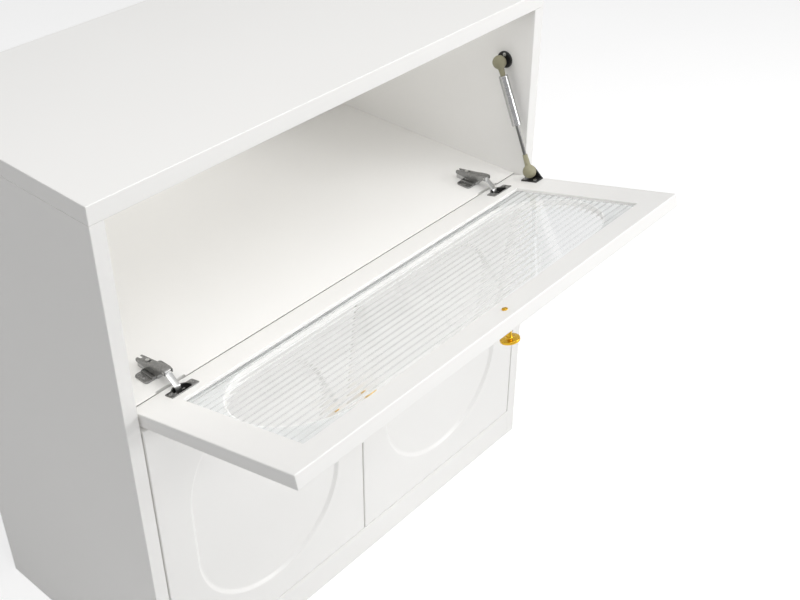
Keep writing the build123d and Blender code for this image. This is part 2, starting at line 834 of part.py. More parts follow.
with BuildPart() as bottom_board:
    box_between(
        (-half_width, bottom_board_front, bottom_board_bottom),
        (half_width, back_front, plinth_height),
    )
    for side, sign in sides:
        for start, end in side_dowels(sign):
            rod_between(start, end, dowel_radius, Mode.SUBTRACT)
        cut_bolts(cam_bolt_lines(sign))
        with Locations(*board_cam_places(sign)):
            Cylinder(cam_radius, cam_height, align=BASE, mode=Mode.SUBTRACT)
    for start, end in support_dowels():
        rod_between(start, end, dowel_radius, Mode.SUBTRACT)
    cut_shanks(back_screw_places, back_screw_length)
bottom_board.part.label = "bottom_board"
export_step(bottom_board.part, "parts/bottom_board.step")

with BuildPart() as plinth_board:
    box_between((-half_width, front, 0), (half_width, bottom_board_front, plinth_height))
    fillet(plinth_board.edges().filter_by(Axis.X).group_by(Axis.Y)[0], edge_radius)
    for side, sign in sides:
        for start, end in side_dowels(sign):
            rod_between(start, end, dowel_radius, Mode.SUBTRACT)
plinth_board.part.label = "plinth_board"
export_step(plinth_board.part, "parts/plinth_board.step")

with BuildPart() as middle_support:
    box_between(
        (-support_width / 2, support_front, 0),
        (support_width / 2, back_front, bottom_board_bottom),
    )
    for start, end in support_dowels():
        rod_between(start, end, dowel_radius, Mode.SUBTRACT)
middle_support.part.label = "middle_support"
export_step(middle_support.part, "parts/middle_support.step")

with BuildPart() as back_panel:
    box_between(
        (-half_width - groove_depth, back_front, bottom_board_bottom),
        (half_width + groove_depth, back_rear, top_underside + groove_depth),
    )
    for x, z in wall_spots:
        rod_between((x, back_front - overcut, z), (x, rear, z), wall_hole_radius, Mode.SUBTRACT)
    cut_shanks(back_screw_places, back_screw_length)
back_panel.part.label = "back_panel"
export_step(back_panel.part, "parts/back_panel.step")

with BuildPart() as back_panel_screws:
    draw_screws(back_screw_places, back_screw_length)
back_panel_screws.part.label = "back_panel_screws"
export_step(back_panel_screws.part, "parts/back_panel_screws.step")

with BuildPart() as rear_top_rail:
    rail_front = back_front - rail_thickness
    box_between((-half_width, rail_front, rail_bottom), (half_width, back_front, top_underside))
    for x, z in wall_spots:
        rod_between((x, rail_front - overcut, z), (x, rear, z), wall_hole_radius, Mode.SUBTRACT)
    for side, sign in sides:
        for start, end in side_dowels(sign):
            rod_between(start, end, dowel_radius, Mode.SUBTRACT)
rear_top_rail.part.label = "rear_top_rail"
export_step(rear_top_rail.part, "parts/rear_top_rail.step")

with BuildPart() as adjustable_shelf:
    shelf_bottom = used_pin_height + pin_radius
    box_between(
        (-half_width + shelf_side_gap, leaf_inner + shelf_front_gap, shelf_bottom),
        (half_width - shelf_side_gap, back_front - shelf_back_gap, shelf_bottom + shelf_thickness),
    )
    fillet(adjustable_shelf.edges().filter_by(Axis.X).group_by(Axis.Y)[0], edge_radius)
adjustable_shelf.part.label = "adjustable_shelf"
export_step(adjustable_shelf.part, "parts/adjustable_shelf.step")

with BuildPart() as shelf_pins:
    for side, sign in sides:
        for y in pin_rows:
            inner_end = sign * (half_width - pin_out)
            outer_end = sign * (half_width + pin_in_side)
            rod_between(
                (outer_end, y, used_pin_height), (inner_end, y, used_pin_height), pin_radius
            )
shelf_pins.part.label = "shelf_pins"
export_step(shelf_pins.part, "parts/shelf_pins.step")

with BuildPart() as cam_locks:
    for side, sign in sides:
        with Locations(*board_cam_places(sign), *side_cam_places(sign)):
            Cylinder(cam_radius, cam_height, align=BASE)
        cut_bolts(cam_bolt_lines(sign) + top_bolt_lines(sign))
        with Locations(*board_cam_places(sign), *side_cam_places(sign)):
            Box(cam_radius, cam_radius / 4, cam_height / 4, align=BASE, mode=Mode.SUBTRACT)
            Box(cam_radius / 4, cam_radius, cam_height / 4, align=BASE, mode=Mode.SUBTRACT)
cam_locks.part.label = "cam_locks"
export_step(cam_locks.part, "parts/cam_locks.step")

with BuildPart() as cam_bolts:
    for side, sign in sides:
        for thread_end, face, cam_end in cam_bolt_lines(sign) + top_bolt_lines(sign):
            rod_between(face, thread_end, thread_radius)
            rod_between(face, cam_end, bolt_radius)
cam_bolts.part.label = "cam_bolts"
export_step(cam_bolts.part, "parts/cam_bolts.step")

with BuildPart() as dowels:
    for side, sign in sides:
        for start, end in side_dowels(sign) + top_dowels(sign):
            rod_between(start, end, dowel_radius)
    for start, end in support_dowels():
        rod_between(start, end, dowel_radius)
dowels.part.label = "dowels"
export_step(dowels.part, "parts/dowels.step")

# Flap
flap_cup_screws = cup_screw_places(flap_plane, flap_hinge, flap_cup_centres, True)
bracket_middle = bracket_base_start + bracket_length / 2
bracket_screws = []
for _, sign in sides:
    spot = (
        strut_x - bracket_screw_inset,
        bracket_middle + sign * bracket_screw_spacing / 2,
        -bracket_plate_thickness,
    )
    seat = Plane(origin=flap_plane.from_local_coords(spot), z_dir=-flap_plane.z_dir)
    bracket_screws.append(seat.location)
rebate_half = flap_width / 2 - rebate_side_margin
rebate_top = flap_height - rebate_free_margin
rebate_height = rebate_top - rebate_hinge_margin
rebate_middle = (rebate_hinge_margin + rebate_top) / 2
seat_depth = leaf_thickness - rebate_depth
pill_length = 2 * (rebate_half - seat_end_ledge)
pill_width = rebate_height - 2 * seat_ledge

with BuildPart() as flap_frame:
    with BuildSketch(flap_plane):
        with Locations((0, flap_height / 2)):
            Rectangle(flap_width, flap_height)
    extrude(amount=leaf_thickness)
    fillet(flap_frame.edges(), leaf_edge_radius)
    with BuildSketch(flap_plane):
        with Locations((0, rebate_middle)):
            Rectangle(2 * rebate_half, rebate_height)
    extrude(amount=seat_depth, mode=Mode.SUBTRACT)
    with BuildSketch(flap_plane):
        with Locations((0, rebate_middle)):
            SlotOverall(pill_length, pill_width)
    extrude(amount=leaf_thickness, mode=Mode.SUBTRACT)
    outer_face = flap_frame.faces().sort_by(Axis(flap_origin, flap_outward))[-1]
    fillet(outer_face.inner_wires().edges(), pill_edge_round)
    with BuildSketch(flap_plane):
        with Locations(*flap_cup_centres):
            Circle(flap_hinge.cup_radius + flap_hinge.cup_wall)
    extrude(amount=flap_hinge.cup_depth + flap_hinge.cup_base, mode=Mode.SUBTRACT)
    with BuildSketch(flap_plane):
        with Locations(flap_knob_spot):
            Circle(knob_screw_radius)
    extrude(amount=leaf_thickness, mode=Mode.SUBTRACT)
    cut_shanks(flap_cup_screws, small_screw_length)
    cut_shanks(bracket_screws, small_screw_length)
flap_frame.part.label = "flap_frame"
export_step(flap_frame.part, "parts/flap_frame.step")

# The pane lies on its tape, flutes to the outer side, running along the flap's length
# between two flat borders
pane_half = rebate_half - pane_side_gap
pane_start = rebate_hinge_margin + pane_side_gap
pane_end = rebate_top - pane_side_gap
pane_back = seat_depth - tape_thickness
flutes_start = pane_start + flute_border
flutes_end = pane_end - flute_border
flute_count = round((flutes_end - flutes_start) / flute_pitch)
flute_width = (flutes_end - flutes_start) / flute_count
flute_root = pane_back - flute_rise
with BuildPart() as flap_fluted_glass:
    with BuildSketch(flap_section):
        with BuildLine():
            Polyline(
                (flutes_start, flute_root),
                (flutes_start, pane_back),
                (pane_start, pane_back),
                (pane_start, rebate_recess),
                (pane_end, rebate_recess),
                (pane_end, pane_back),
                (flutes_end, pane_back),
                (flutes_end, flute_root),
            )
            for i in range(flute_count):
                low = flutes_start + i * flute_width
                ThreePointArc(
                    (low, flute_root),
                    (low + flute_width / 2, pane_back),
                    (low + flute_width, flute_root),
                )
        make_face()
    extrude(amount=pane_half, both=True)
flap_fluted_glass.part.label = "flap_fluted_glass"
export_step(flap_fluted_glass.part, "parts/flap_fluted_glass.step")

with BuildPart() as flap_glazing_tape:
    with BuildSketch(flap_plane.offset(pane_back)):
        with Locations((0, rebate_middle)):
            Rectangle(2 * pane_half, pane_end - pane_start)
            SlotOverall(
                pill_length + 2 * tape_inset, pill_width + 2 * tape_inset, mode=Mode.SUBTRACT
            )
    extrude(amount=tape_thickness)
flap_glazing_tape.part.label = "flap_glazing_tape"
export_step(flap_glazing_tape.part, "parts/flap_glazing_tape.step")


def draw_knob(plane, spot):
    """Stem with a thin disc. Plane Z points out of the leaf's outer face."""
    x, y = spot
    with Locations(plane.location * Location((x, y, knob_stem_length))):
        Cylinder(knob_disc_radius, knob_disc_thickness, align=BASE)
    with Locations(plane.location * Location((x, y, 0))):
        Cylinder(knob_stem_radius, knob_stem_length, align=BASE)
        Cylinder(knob_screw_radius, knob_screw_reach, align=BASE, mode=Mode.SUBTRACT)


def draw_knob_screw(plane, spot):
    """Slotted screw through a leaf. Plane Z points into the leaf from its inner face."""
    x, y = spot
    with Locations(plane.location * Location((x, y, 0))):
        Cylinder(knob_screw_radius, leaf_thickness + knob_screw_reach, align=BASE)
        Cylinder(knob_screw_head_radius, knob_screw_head_height, align=DOWN)
    with Locations(plane.location * Location((x, y, -knob_screw_head_height))):
        Box(
            2 * knob_screw_head_radius + overcut,
            knob_slot_width,
            knob_screw_head_height,
            mode=Mode.SUBTRACT,
        )


with BuildPart() as flap_knob:
    draw_knob(flap_plane.offset(leaf_thickness), flap_knob_spot)
    disc_edges = flap_knob.edges().filter_by(GeomType.CIRCLE).sort_by(SortBy.RADIUS)[-2:]
    fillet(disc_edges, knob_edge_round)
flap_knob.part.label = "flap_knob"
export_step(flap_knob.part, "parts/flap_knob.step")

with BuildPart() as flap_knob_screw:
    draw_knob_screw(flap_plane, flap_knob_spot)
flap_knob_screw.part.label = "flap_knob_screw"
export_step(flap_knob_screw.part, "parts/flap_knob_screw.step")

# Flap hinges
with BuildPart() as flap_hinge_cups:
    draw_cups(flap_plane, flap_hinge, flap_cup_centres, True, flap_cup_pins)
flap_hinge_cups.part.label = "flap_hinge_cups"
export_step(flap_hinge_cups.part, "parts/flap_hinge_cups.step")

with BuildPart() as flap_hinge_cup_screws:
    draw_screws(flap_cup_screws, small_screw_length)
flap_hinge_cup_screws.part.label = "flap_hinge_cup_screws"
export_step(flap_hinge_cup_screws.part, "parts/flap_hinge_cup_screws.step")

with BuildPart() as flap_hinge_cup_pins:
    for start, end in flap_cup_pins:
        rod_between(start, end, flap_hinge.pin_radius)
flap_hinge_cup_pins.part.label = "flap_hinge_cup_pins"
export_step(flap_hinge_cup_pins.part, "parts/flap_hinge_cup_pins.step")

with BuildPart() as flap_hinge_links:
    for hinge_plane in flap_hinge_planes:
        draw_link(hinge_plane, flap_hinge, flap_pivot, True)
flap_hinge_links.part.label = "flap_hinge_links"
export_step(flap_hinge_links.part, "parts/flap_hinge_links.step")

with BuildPart() as flap_hinge_plates:
    for hinge_plane in flap_hinge_planes:
        draw_mounting_plate(hinge_plane, flap_hinge)
    with Locations(*flap_arm_screws):
        Cylinder(small_shank_radius, small_screw_length, align=DOWN, mode=Mode.SUBTRACT)
flap_hinge_plates.part.label = "flap_hinge_plates"
export_step(flap_hinge_plates.part, "parts/flap_hinge_plates.step")

with BuildPart() as flap_hinge_arms:
    for hinge_plane in flap_hinge_planes:
        draw_arm(hinge_plane, flap_hinge, flap_arm_pin)
    with Locations(*flap_arm_screws):
        Cylinder(small_shank_radius, small_screw_length, mode=Mode.SUBTRACT)
flap_hinge_arms.part.label = "flap_hinge_arms"
export_step(flap_hinge_arms.part, "parts/flap_hinge_arms.step")

with BuildPart() as flap_hinge_arm_screws:
    draw_screws(flap_arm_screws, small_screw_length)
flap_hinge_arm_screws.part.label = "flap_hinge_arm_screws"
export_step(flap_hinge_arm_screws.part, "parts/flap_hinge_arm_screws.step")

with BuildPart() as flap_hinge_plate_screws:
    draw_screws(flap_plate_screws, small_screw_length)
flap_hinge_plate_screws.part.label = "flap_hinge_plate_screws"
export_step(flap_hinge_plate_screws.part, "parts/flap_hinge_plate_screws.step")

with BuildPart() as flap_hinge_arm_pins:
    for hinge_plane in flap_hinge_planes:
        with BuildSketch(hinge_plane):
            with Locations(flap_arm_pin):
                Circle(flap_hinge.pin_radius)
        extrude(amount=flap_hinge.arm_width / 2, both=True)
flap_hinge_arm_pins.part.label = "flap_hinge_arm_pins"
export_step(flap_hinge_arm_pins.part, "parts/flap_hinge_arm_pins.step")


# Lid strut
def draw_ball_stud(centre, foot):
    """Ball on a round stud, turned about the line from the ball's centre to the stud's foot."""
    run = foot - centre
    shoulder = sqrt(strut_ball_radius**2 - strut_stud_radius**2)
    diagonal = strut_ball_radius / sqrt(2)
    with BuildSketch(Plane(origin=centre, x_dir=run, z_dir=(0, 1, 0))) as half:
        with BuildLine():
            ThreePointArc(
                (-strut_ball_radius, 0), (-diagonal, diagonal), (shoulder, strut_stud_radius)
            )
            Polyline(
                (shoulder, strut_stud_radius),
                (run.length, strut_stud_radius),
                (run.length, 0),
                (-strut_ball_radius, 0),
            )
        make_face()
    revolve(half.sketch, axis=Axis(centre, run))


def draw_socket(plane, neck_reach, spigot_end):
    """Ball socket open towards the stud along plane X, with a neck along plane Z."""
    cavity_radius = strut_ball_radius + strut_ball_clearance
    mouth_radius = strut_stud_radius + socket_mouth_gap
    rim_radius = sqrt(socket_radius**2 - socket_stud_side**2)
    mouth_start = sqrt(cavity_radius**2 - mouth_radius**2)
    outer_diagonal = socket_radius / sqrt(2)
    inner_diagonal = cavity_radius / sqrt(2)
    with BuildSketch(Plane(origin=plane.origin, x_dir=plane.x_dir, z_dir=plane.y_dir)) as half:
        with BuildLine():
            ThreePointArc(
                (-socket_radius, 0), (-outer_diagonal, outer_diagonal), (socket_stud_side, rim_radius)
            )
            Polyline(
                (socket_stud_side, rim_radius),
                (socket_stud_side, mouth_radius),
                (mouth_start, mouth_radius),
            )
            ThreePointArc(
                (mouth_start, mouth_radius), (-inner_diagonal, inner_diagonal), (-cavity_radius, 0)
            )
            Line((-cavity_radius, 0), (-socket_radius, 0))
        make_face()
    revolve(half.sketch, axis=Axis(plane.origin, plane.x_dir))
    neck_start = socket_radius - neck_in_socket
    with Locations(plane.offset(neck_start)):
        Cone(neck_wide_radius, neck_narrow_radius, neck_reach - neck_start, align=BASE)
    if spigot_end > neck_reach:
        with Locations(plane.offset(neck_reach)):
            Cylinder(neck_narrow_radius, spigot_end - neck_reach, align=BASE)


with BuildPart() as strut_wall_plate:
    wall_side = (half_width - wall_plate_thickness, upper_ball.Y, upper_ball.Z)
    rod_between(wall_side, (half_width, upper_ball.Y, upper_ball.Z), wall_plate_radius)
    fillet(strut_wall_plate.edges().group_by(Axis.X)[0], wall_plate_thickness / 3)
    with Locations(*wall_plate_screws):
        Cylinder(small_shank_radius, 2 * wall_plate_thickness, align=DOWN, mode=Mode.SUBTRACT)
    draw_ball_stud(upper_ball, Vector(*wall_side))
strut_wall_plate.part.label = "strut_wall_plate"
export_step(strut_wall_plate.part, "parts/strut_wall_plate.step")

with BuildPart() as strut_wall_screws:
    draw_screws(wall_plate_screws, small_screw_length)
strut_wall_screws.part.label = "strut_wall_screws"
export_step(strut_wall_screws.part, "parts/strut_wall_screws.step")

with BuildPart() as strut_top_socket:
    draw_socket(strut_plane, top_neck_reach, top_neck_reach + tube_end_wall)
strut_top_socket.part.label = "strut_top_socket"
export_step(strut_top_socket.part, "parts/strut_top_socket.step")

with BuildPart() as strut_tube:
    bore_start = top_neck_reach + tube_end_wall
    with Locations(strut_plane.offset(top_neck_reach)):
        Cylinder(tube_radius, tube_reach - top_neck_reach, align=BASE)
        Cylinder(neck_narrow_radius, tube_end_wall, align=BASE, mode=Mode.SUBTRACT)
    with Locations(strut_plane.offset(bore_start)):
        Cylinder(tube_radius - tube_wall, tube_reach - bore_start, align=BASE, mode=Mode.SUBTRACT)
strut_tube.part.label = "strut_tube"
export_step(strut_tube.part, "parts/strut_tube.step")

with BuildPart() as strut_tube_gland:
    with BuildSketch(strut_plane.offset(tube_reach)):
        Circle(tube_radius)
        with Locations((0, gland_slot_shift / 2)):
            SlotCenterToCenter(
                gland_slot_shift, 2 * (rod_radius + gland_clearance), rotation=90, mode=Mode.SUBTRACT
            )
    extrude(amount=gland_thickness)
strut_tube_gland.part.label = "strut_tube_gland"
export_step(strut_tube_gland.part, "parts/strut_tube_gland.step")

foot_plane = Plane(origin=lower_ball, x_dir=(1, 0, 0), z_dir=upper_ball - lower_ball)
with BuildPart() as strut_rod:
    with Locations(foot_plane.offset(rod_in_neck)):
        Cylinder(rod_radius, strut_length - rod_start - rod_in_neck, align=BASE)
strut_rod.part.label = "strut_rod"
export_step(strut_rod.part, "parts/strut_rod.step")

with BuildPart() as strut_bottom_socket:
    draw_socket(foot_plane, foot_neck_reach, foot_neck_reach)
    with Locations(foot_plane.offset(rod_in_neck)):
        Cylinder(rod_radius, foot_neck_reach, align=BASE, mode=Mode.SUBTRACT)
strut_bottom_socket.part.label = "strut_bottom_socket"
export_step(strut_bottom_socket.part, "parts/strut_bottom_socket.step")

with BuildPart() as strut_flap_bracket:
    ear_outer = strut_x + bracket_width / 2
    ear_inner = ear_outer - bracket_plate_thickness
    with BuildSketch(flap_plane):
        with Locations((strut_x, bracket_middle)):
            Rectangle(bracket_width, bracket_length)
    extrude(amount=-bracket_plate_thickness)
    ear_origin = flap_plane.from_local_coords((ear_inner, 0, 0))
    ear_plane = Plane(origin=ear_origin, x_dir=flap_plane.y_dir, z_dir=(1, 0, 0))
    ear_start = bracket_base_start + ear_end_gap
    ear_end = bracket_base_start + bracket_length - ear_end_gap
    ear_top = -strut_foot_height - bracket_ear_rise
    with BuildSketch(ear_plane):
        Polygon(
            (ear_start, -bracket_plate_thickness),
            (ear_end, -bracket_plate_thickness),
            (strut_foot_distance + bracket_ear_rise, ear_top),
            (strut_foot_distance - bracket_ear_rise, ear_top),
            align=None,
        )
    extrude(amount=bracket_plate_thickness)
    stud_foot = flap_plane.from_local_coords((ear_inner, strut_foot_distance, -strut_foot_height))
    draw_ball_stud(lower_ball, stud_foot)
    with Locations(*bracket_screws):
        Cylinder(small_shank_radius, 2 * bracket_plate_thickness + overcut, mode=Mode.SUBTRACT)
strut_flap_bracket.part.label = "strut_flap_bracket"
export_step(strut_flap_bracket.part, "parts/strut_flap_bracket.step")

with BuildPart() as strut_bracket_screws:
    draw_screws(bracket_screws, small_screw_length)
strut_bracket_screws.part.label = "strut_bracket_screws"
export_step(strut_bracket_screws.part, "parts/strut_bracket_screws.step")

# Lower doors
recess_radius = door_width / 2 - recess_side_margin
recess_height = door_height - recess_bottom_margin - recess_top_margin
recess_middle = recess_bottom_margin + recess_height / 2
for side, sign in sides:
    inner_plane = door_plane(side)
    knob_spot = (-sign * (door_width / 2 - knob_from_meeting_edge), knob_height - door_bottom)
    with BuildPart() as door_panel:
        box_between(
            (door_centres[side] - door_width / 2, front, door_bottom),
            (door_centres[side] + door_width / 2, leaf_inner, door_top),
        )
        fillet(door_panel.edges(), leaf_edge_radius)
        with BuildSketch(inner_plane.offset(leaf_thickness)):
            with Locations((0, recess_middle)):
                SlotOverall(recess_height, 2 * recess_radius, rotation=90)
        with BuildSketch(inner_plane.offset(leaf_thickness - recess_depth)):
            with Locations((0, recess_middle)):
                SlotOverall(
                    recess_height - 2 * recess_slope_width,
                    2 * (recess_radius - recess_slope_width),
                    rotation=90,
                )
        loft(ruled=True, mode=Mode.SUBTRACT)
        with BuildSketch(inner_plane):
            with Locations(*door_cup_centres[side]):
                Circle(door_hinge.cup_radius + door_hinge.cup_wall)
        extrude(amount=door_hinge.cup_depth + door_hinge.cup_base, mode=Mode.SUBTRACT)
        with BuildSketch(inner_plane):
            with Locations(knob_spot):
                Circle(knob_screw_radius)
        extrude(amount=leaf_thickness, mode=Mode.SUBTRACT)
        cup_screws = cup_screw_places(inner_plane, door_hinge, door_cup_centres[side], False)
        cut_shanks(cup_screws, small_screw_length)
    door_panel.part.label = f"{side}_door_panel"
    export_step(door_panel.part, f"parts/{side}_door_panel.step")

    with BuildPart() as door_knob:
        draw_knob(inner_plane.offset(leaf_thickness), knob_spot)
        disc_edges = door_knob.edges().filter_by(GeomType.CIRCLE).sort_by(SortBy.RADIUS)[-2:]
        fillet(disc_edges, knob_edge_round)
    door_knob.part.label = f"{side}_door_knob"
    export_step(door_knob.part, f"parts/{side}_door_knob.step")

    with BuildPart() as door_knob_screw:
        draw_knob_screw(inner_plane, knob_spot)
    door_knob_screw.part.label = f"{side}_door_knob_screw"
    export_step(door_knob_screw.part, f"parts/{side}_door_knob_screw.step")

    with BuildPart() as door_hinge_cups:
        draw_cups(inner_plane, door_hinge, door_cup_centres[side], False, door_cup_pins[side])
    door_hinge_cups.part.label = f"{side}_door_hinge_cups"
    export_step(door_hinge_cups.part, f"parts/{side}_door_hinge_cups.step")

    with BuildPart() as door_hinge_cup_screws:
        draw_screws(cup_screws, small_screw_length)
    door_hinge_cup_screws.part.label = f"{side}_door_hinge_cup_screws"
    export_step(door_hinge_cup_screws.part, f"parts/{side}_door_hinge_cup_screws.step")

    with BuildPart() as door_hinge_cup_pins:
        for start, end in door_cup_pins[side]:
            rod_between(start, end, door_hinge.pin_radius)
    door_hinge_cup_pins.part.label = f"{side}_door_hinge_cup_pins"
    export_step(door_hinge_cup_pins.part, f"parts/{side}_door_hinge_cup_pins.step")

    with BuildPart() as door_hinge_links:
        for hinge_plane in door_hinge_planes[side]:
            draw_link(hinge_plane, door_hinge, door_pivot, False)
    door_hinge_links.part.label = f"{side}_door_hinge_links"
    export_step(door_hinge_links.part, f"parts/{side}_door_hinge_links.step")

# Lower door hinges on the side panels
with BuildPart() as door_hinge_plates:
    for hinge_plane in all_door_hinge_planes:
        draw_mounting_plate(hinge_plane, door_hinge)
    with Locations(*door_arm_screws):
        Cylinder(small_shank_radius, small_screw_length, align=DOWN, mode=Mode.SUBTRACT)
door_hinge_plates.part.label = "door_hinge_plates"
export_step(door_hinge_plates.part, "parts/door_hinge_plates.step")

with BuildPart() as door_hinge_arms:
    for hinge_plane in all_door_hinge_planes:
        draw_arm(hinge_plane, door_hinge, door_arm_pin)
    with Locations(*door_arm_screws):
        Cylinder(small_shank_radius, small_screw_length, mode=Mode.SUBTRACT)
door_hinge_arms.part.label = "door_hinge_arms"
export_step(door_hinge_arms.part, "parts/door_hinge_arms.step")

with BuildPart() as door_hinge_plate_screws:
    draw_screws(door_plate_screws, small_screw_length)
door_hinge_plate_screws.part.label = "door_hinge_plate_screws"
export_step(door_hinge_plate_screws.part, "parts/door_hinge_plate_screws.step")

with BuildPart() as door_hinge_arm_screws:
    draw_screws(door_arm_screws, small_screw_length)
door_hinge_arm_screws.part.label = "door_hinge_arm_screws"
export_step(door_hinge_arm_screws.part, "parts/door_hinge_arm_screws.step")

with BuildPart() as door_hinge_arm_pins:
    for hinge_plane in all_door_hinge_planes:
        with BuildSketch(hinge_plane):
            with Locations(door_arm_pin):
                Circle(door_hinge.pin_radius)
        extrude(amount=door_hinge.arm_width / 2, both=True)
door_hinge_arm_pins.part.label = "door_hinge_arm_pins"
export_step(door_hinge_arm_pins.part, "parts/door_hinge_arm_pins.step")
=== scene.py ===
"""Looks of a cabinet bay with a glazed drop-down flap above two inset doors."""

import json
import logging
from dataclasses import dataclass, field
from enum import Enum

import bmesh
import bpy
import numpy as np
from mathutils import Matrix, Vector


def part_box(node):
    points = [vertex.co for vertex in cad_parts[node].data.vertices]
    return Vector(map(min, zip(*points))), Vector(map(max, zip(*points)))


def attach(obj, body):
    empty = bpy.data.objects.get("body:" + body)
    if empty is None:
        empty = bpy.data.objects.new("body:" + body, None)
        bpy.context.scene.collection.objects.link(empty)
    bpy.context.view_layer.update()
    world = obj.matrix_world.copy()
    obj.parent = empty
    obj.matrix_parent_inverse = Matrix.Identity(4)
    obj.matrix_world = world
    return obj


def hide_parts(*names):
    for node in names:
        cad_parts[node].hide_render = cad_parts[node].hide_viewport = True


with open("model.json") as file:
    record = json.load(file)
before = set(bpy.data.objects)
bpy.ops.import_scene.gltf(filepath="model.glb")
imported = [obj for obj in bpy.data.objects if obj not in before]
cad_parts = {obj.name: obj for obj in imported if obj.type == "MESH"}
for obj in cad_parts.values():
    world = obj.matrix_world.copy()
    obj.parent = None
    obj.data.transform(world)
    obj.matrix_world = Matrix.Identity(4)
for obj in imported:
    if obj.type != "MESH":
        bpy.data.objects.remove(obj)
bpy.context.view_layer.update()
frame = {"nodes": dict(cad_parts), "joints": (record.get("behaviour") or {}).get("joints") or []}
LOG = logging.getLogger("cabinet")

MM = 0.001
RIGHT = np.array([1.0, 0.0, 0.0])
BACK = np.array([0.0, 1.0, 0.0])
UP = np.array([0.0, 0.0, 1.0])


def unit(vector: np.ndarray) -> np.ndarray:
    """The vector divided by its length."""
    return vector / np.linalg.norm(vector)


def joint(name: str) -> dict:
    """A joint of the frame."""
    return next(entry for entry in frame["joints"] if entry["name"] == name)


def joint_place(name: str) -> np.ndarray:
    """Where a joint of the frame turns, in metres."""
    return np.array(joint(name)["pos_m"], float)


def node_box(name: str) -> tuple[np.ndarray, np.ndarray]:
    """Lowest and highest corner of a CAD node, in metres."""
    low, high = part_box(name)
    return np.array(low), np.array(high)


@dataclass(frozen=True)
class Axes:
    """A place to build in: an origin in metres and three directions."""

    origin: np.ndarray
    x: np.ndarray
    y: np.ndarray
    z: np.ndarray

    def place(self, points: np.ndarray) -> np.ndarray:
        """Local points in millimetres as points of the frame in metres."""
        turned = points[..., 0:1] * self.x + points[..., 1:2] * self.y + points[..., 2:3] * self.z
        return self.origin + MM * turned

    def at(self, x: float = 0.0, y: float = 0.0, z: float = 0.0) -> "Axes":
        """The same directions from another local point."""
        return Axes(self.place(np.array([x, y, z])), self.x, self.y, self.z)

    def facing_back(self) -> "Axes":
        """The same place seen from behind: Z and X are turned round."""
        return Axes(self.origin, -self.x, self.y, -self.z)

    def matrix(self) -> Matrix:
        """The axes as an object's place."""
        whole = np.eye(4)
        whole[:3] = np.column_stack([self.x, self.y, self.z, self.origin])
        return Matrix(whole.tolist())


def axes_along(origin: np.ndarray, z: np.ndarray, x: np.ndarray) -> Axes:
    """Axes with the given Z and with X as near as it gets to the given one.

    Args:
        origin: The origin, in metres.
        z: Direction of Z.
        x: Wanted direction of X.

    Returns:
        Axes with X, Y and Z square to each other.
    """
    z = unit(z)
    x = unit(x - np.dot(x, z) * z)
    return Axes(origin, x, np.cross(z, x), z)


@dataclass
class Shape:
    """Points and faces of a mesh that is being put together."""

    points: list[np.ndarray] = field(default_factory=list)
    faces: list[np.ndarray] = field(default_factory=list)
    count: int = 0

    def add(self, points: np.ndarray, faces: np.ndarray) -> None:
        """Adds a grid's points and faces.

        Args:
            points: Points of the frame, in metres.
            faces: Numbers of each face's points.
        """
        flat = points.reshape(-1, 3)
        self.points.append(flat)
        self.faces.append(faces + self.count)
        self.count += len(flat)


def grid_quads(rows: int, columns: int, ring_rows: bool, ring_columns: bool) -> np.ndarray:
    """Quads of a grid of points that is numbered row by row.

    A quad joins a point, the next one in its row and the two beside them in the next row.

    Args:
        rows: Number of rows.
        columns: Number of points in a row.
        ring_rows: Whether the last row joins the first one.
        ring_columns: Whether a row's last point joins its first one.

    Returns:
        Four point numbers for each quad.
    """
    row = np.arange(rows if ring_rows else rows - 1)
    column = np.arange(columns if ring_columns else columns - 1)
    row, column = np.meshgrid(row, column, indexing="ij")
    next_row = (row + 1) % rows
    next_column = (column + 1) % columns
    corners = [
        row * columns + column,
        row * columns + next_column,
        next_row * columns + next_column,
        next_row * columns + column,
    ]
    return np.stack(corners, axis=-1).reshape(-1, 4)


def rounded_line(corners: list[tuple[float, float, float]], steps: int = 5) -> np.ndarray:
    """A line of straight runs whose corners are rounded.

    Each corner (a, b, radius) becomes an arc that touches both runs: it starts and ends at
    radius times the tangent of half the turn before and after the corner.

    Args:
        corners: The corners and ends of the line, with the radius of each.
        steps: Number of steps in an arc.

    Returns:
        The line's points, one (a, b) in each row.
    """
    points = [np.array(corners[0][:2])]
    for before, corner, after in zip(corners, corners[1:], corners[2:]):
        here = np.array(corner[:2])
        back = np.array(before[:2]) - here
        ahead = np.array(after[:2]) - here
        half = 0.5 * np.arccos(np.clip(np.dot(unit(back), unit(ahead)), -1, 1))
        if corner[2] <= 0 or half > 0.5 * np.pi - 0.01:
            points.append(here)
            continue
        middle = here + corner[2] / np.sin(half) * unit(unit(back) + unit(ahead))
        touch_back = here + corner[2] / np.tan(half) * unit(back) - middle
        touch_ahead = here + corner[2] / np.tan(half) * unit(ahead) - middle
        share = np.linspace(0, 1, steps + 1)[:, None]
        turn = np.arccos(np.clip(np.dot(unit(touch_back), unit(touch_ahead)), -1, 1))
        arc = np.sin((1 - share) * turn) * touch_back + np.sin(share * turn) * touch_ahead
        points.extend(middle + arc / np.sin(turn))
    points.append(np.array(corners[-1][:2]))
    return np.array(points)


